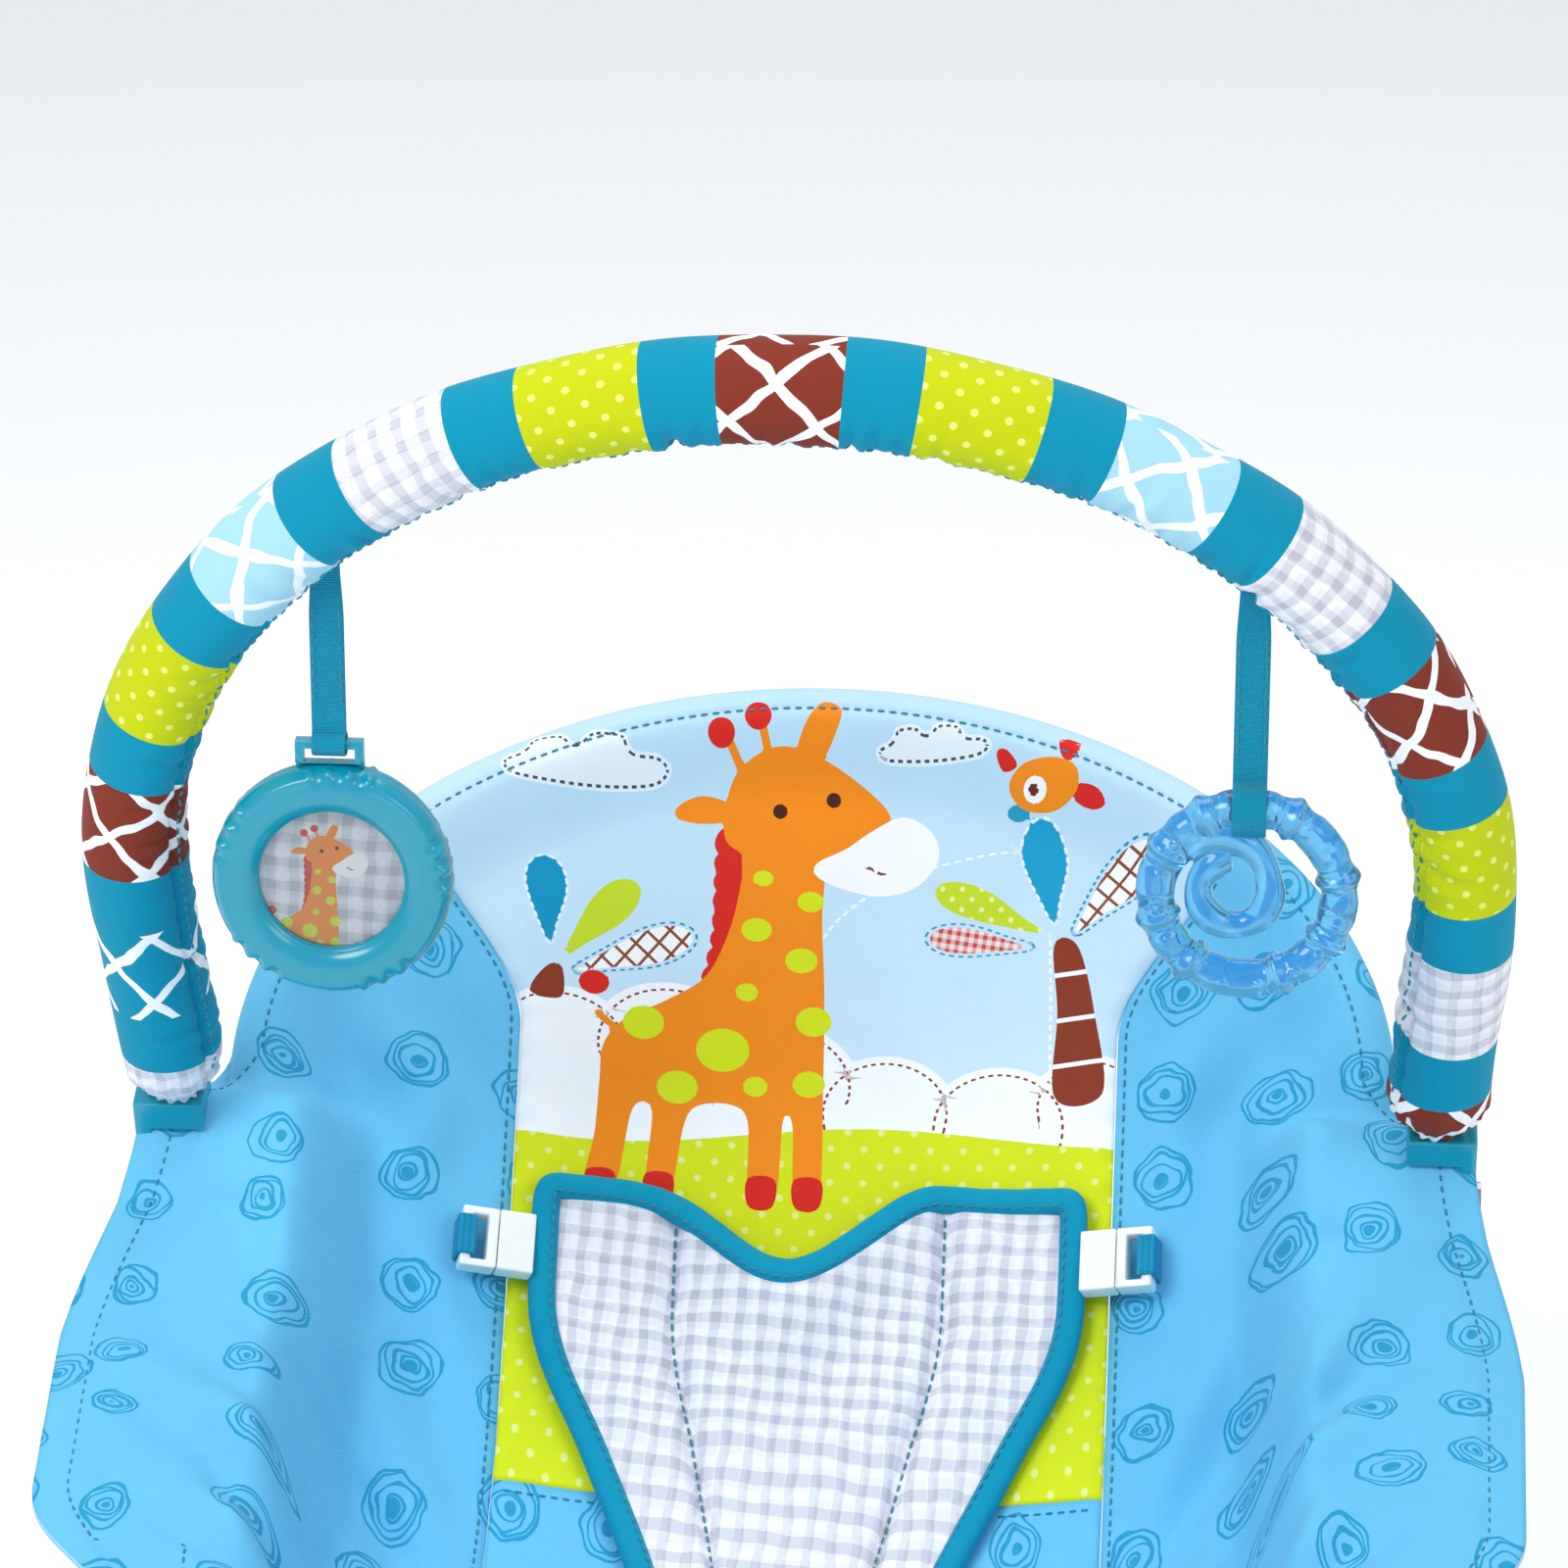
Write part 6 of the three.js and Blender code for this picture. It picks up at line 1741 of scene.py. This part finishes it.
def joined_tubes(name, parts, material, body, node, voxel):
    """Overlapping closed shapes melted into one skin."""
    points, faces = [], []
    for rows, closed in parts:
        base = len(points)
        count, sides = rows.shape[:2]
        points += rows.reshape(-1, 3).tolist()
        faces += [tuple(base + i for i in f) for f in ring_faces(count, sides, closed)]
        if not closed:
            faces += [tuple(base + i for i in range(sides))]
            faces += [tuple(base + (count - 1) * sides + i for i in range(sides))]
    piece = new_mesh(name, points, faces)
    bpy.ops.object.select_all(action="DESELECT")
    piece.select_set(True)
    bpy.context.view_layer.objects.active = piece
    melt = piece.modifiers.new("melt", "REMESH")
    melt.mode = "VOXEL"
    melt.voxel_size = voxel * MM
    melt.use_smooth_shade = True
    bpy.ops.object.modifier_apply(modifier=melt.name)
    relax = piece.modifiers.new("relax", "SMOOTH")
    relax.factor = 0.5
    relax.iterations = 4
    bpy.ops.object.modifier_apply(modifier=relax.name)
    piece.data.materials.append(material)
    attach(piece, body)
    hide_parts(node)
    return piece


def ball(centre, radius, sides=14):
    """Rings of a small ball."""
    lat = np.linspace(0.12, math.pi - 0.12, 9)
    turns = np.linspace(0, 2 * math.pi, sides, endpoint=False)
    rows = np.stack([np.sin(lat)[:, None] * np.cos(turns), np.sin(lat)[:, None] * np.sin(turns),
                     np.cos(lat)[:, None] + 0 * turns], -1)
    return np.array(centre) + radius * rows


soft_blue, blue_tree = finish("soft_blue", "#74CDF6", 0.12, Transmission_Weight=0.88, IOR=1.42,
                              Coat_Weight=0.3, Coat_Roughness=0.08)
blue_haze = speckle(blue_tree, 70, 3)
lead(blue_tree, "Base Color", mixed(blue_tree, blue_haze, linear("#4DB6EE"), linear("#82D2F8")))
lead(blue_tree, "Roughness", ranged(blue_tree, blue_haze, 0.07, 0.17))

turn = np.linspace(0, 2 * math.pi, RING_STEPS, endpoint=False)
ring_line = TEETHER_PLACE + TEETHER_RADIUS * np.column_stack([np.cos(turn), 0 * turn, np.sin(turn)])
ring_radii = np.full(RING_STEPS, TEETHER_TUBE, float)
for cuff in CUFFS:
    gap_turn = np.abs((turn - math.radians(cuff) + math.pi) % (2 * math.pi) - math.pi) * TEETHER_RADIUS
    ring_radii += 1.5 * np.exp(-((gap_turn / 1.7) ** 2)) - 0.7 * np.exp(-(((gap_turn - 5.0) / 2.0) ** 2))
curl = np.linspace(0, 1, 150)
curl_turn = CURL_START - curl * CURL_TURN
curl_radius = CURL_REACH - CURL_DRAWN_IN * eased(curl, 0, 0.42)
curl_middle = TEETHER_PLACE + np.outer(eased(curl, 0, 0.4), [-4.5, 0, 0.5])
curl_arm = np.column_stack([np.cos(curl_turn), 0 * curl, np.sin(curl_turn)])
curl_line = curl_middle + curl_radius[:, None] * curl_arm
curl_radii = CURL_TUBE + 0.5 * np.cos(curl * 26) - 1.2 * eased(curl, 0.92, 1.0)
teether_parts = [(fat_tube(ring_line, ring_radii), True), (fat_tube(curl_line, curl_radii), False)]
for place in range(KNOBS):
    knob_turn = 2 * math.pi * place / KNOBS + math.radians(8)
    middle = TEETHER_PLACE + TEETHER_RADIUS * np.array([math.cos(knob_turn), 0, math.sin(knob_turn)])
    for face in (-1, 1):
        teether_parts.append((ball(middle + [0, face * (TEETHER_TUBE - 0.4), 0], KNOB_RADIUS), False))
joined_tubes("teether_ring", teether_parts, soft_blue, "teether_toy", "teether", 0.75)

# ------------------------------------------------------------ the vibration unit
# A small white and teal battery case is clamped to the foot end's tube. Its front and back are screwed
# together round a cell, a motor with an off-centre weight, a circuit board and a slide switch. A field of
# small domes on the front makes it easy to grip.
UNIT_FACE = -270.1
GRIP_SIDE, GRIP_START, GRIP_LOW = 4, 8.0, 84.0
GRIP_PITCH = (6.0, 5.2)
GRIP_RADIUS, GRIP_FACETS = 1.5, 12
softened("vibration_front_case", "unit_front", pale_plastic, "seat", 2.4, 4)
softened("vibration_back_case", "unit_back", teal_plastic, "seat", 1.2, 3)
softened("vibration_battery_door", "unit_battery_door", teal_plastic, "battery_door", 0.5, 3)
softened("vibration_switch", "unit_switch_knob", teal_plastic, "mode_switch", 0.6, 3)
dressed("vibration_battery", cell_sleeve)
dressed("vibration_battery_spring", plated_steel)
dressed("vibration_circuit_board", board_lacquer)
dressed("vibration_motor", plated_steel)
dressed("vibration_weight", plated_steel)
for side, _ in SIDES:
    dressed(f"vibration_screw_{side}", plated_steel)

dots, faces = [], []
for column in range(GRIP_SIDE):
    for row in range(GRIP_SIDE):
        base = len(dots)
        x = GRIP_START + GRIP_PITCH[0] * column
        dome = ball((x, UNIT_FACE, GRIP_LOW + GRIP_PITCH[1] * row), GRIP_RADIUS, GRIP_FACETS)
        dots += dome.reshape(-1, 3).tolist()
        faces += [tuple(base + i for i in f) for f in ring_faces(9, GRIP_FACETS, closed=False)]
        faces += [tuple(base + end + i for i in range(GRIP_FACETS)) for end in (0, 8 * GRIP_FACETS)]
grille = new_mesh("unit_grip_dots", dots, faces)
grille.data.materials.append(teal_plastic)
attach(grille, "seat")

# ------------------------------------------------------------ the sizes of the shown pieces
low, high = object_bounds()
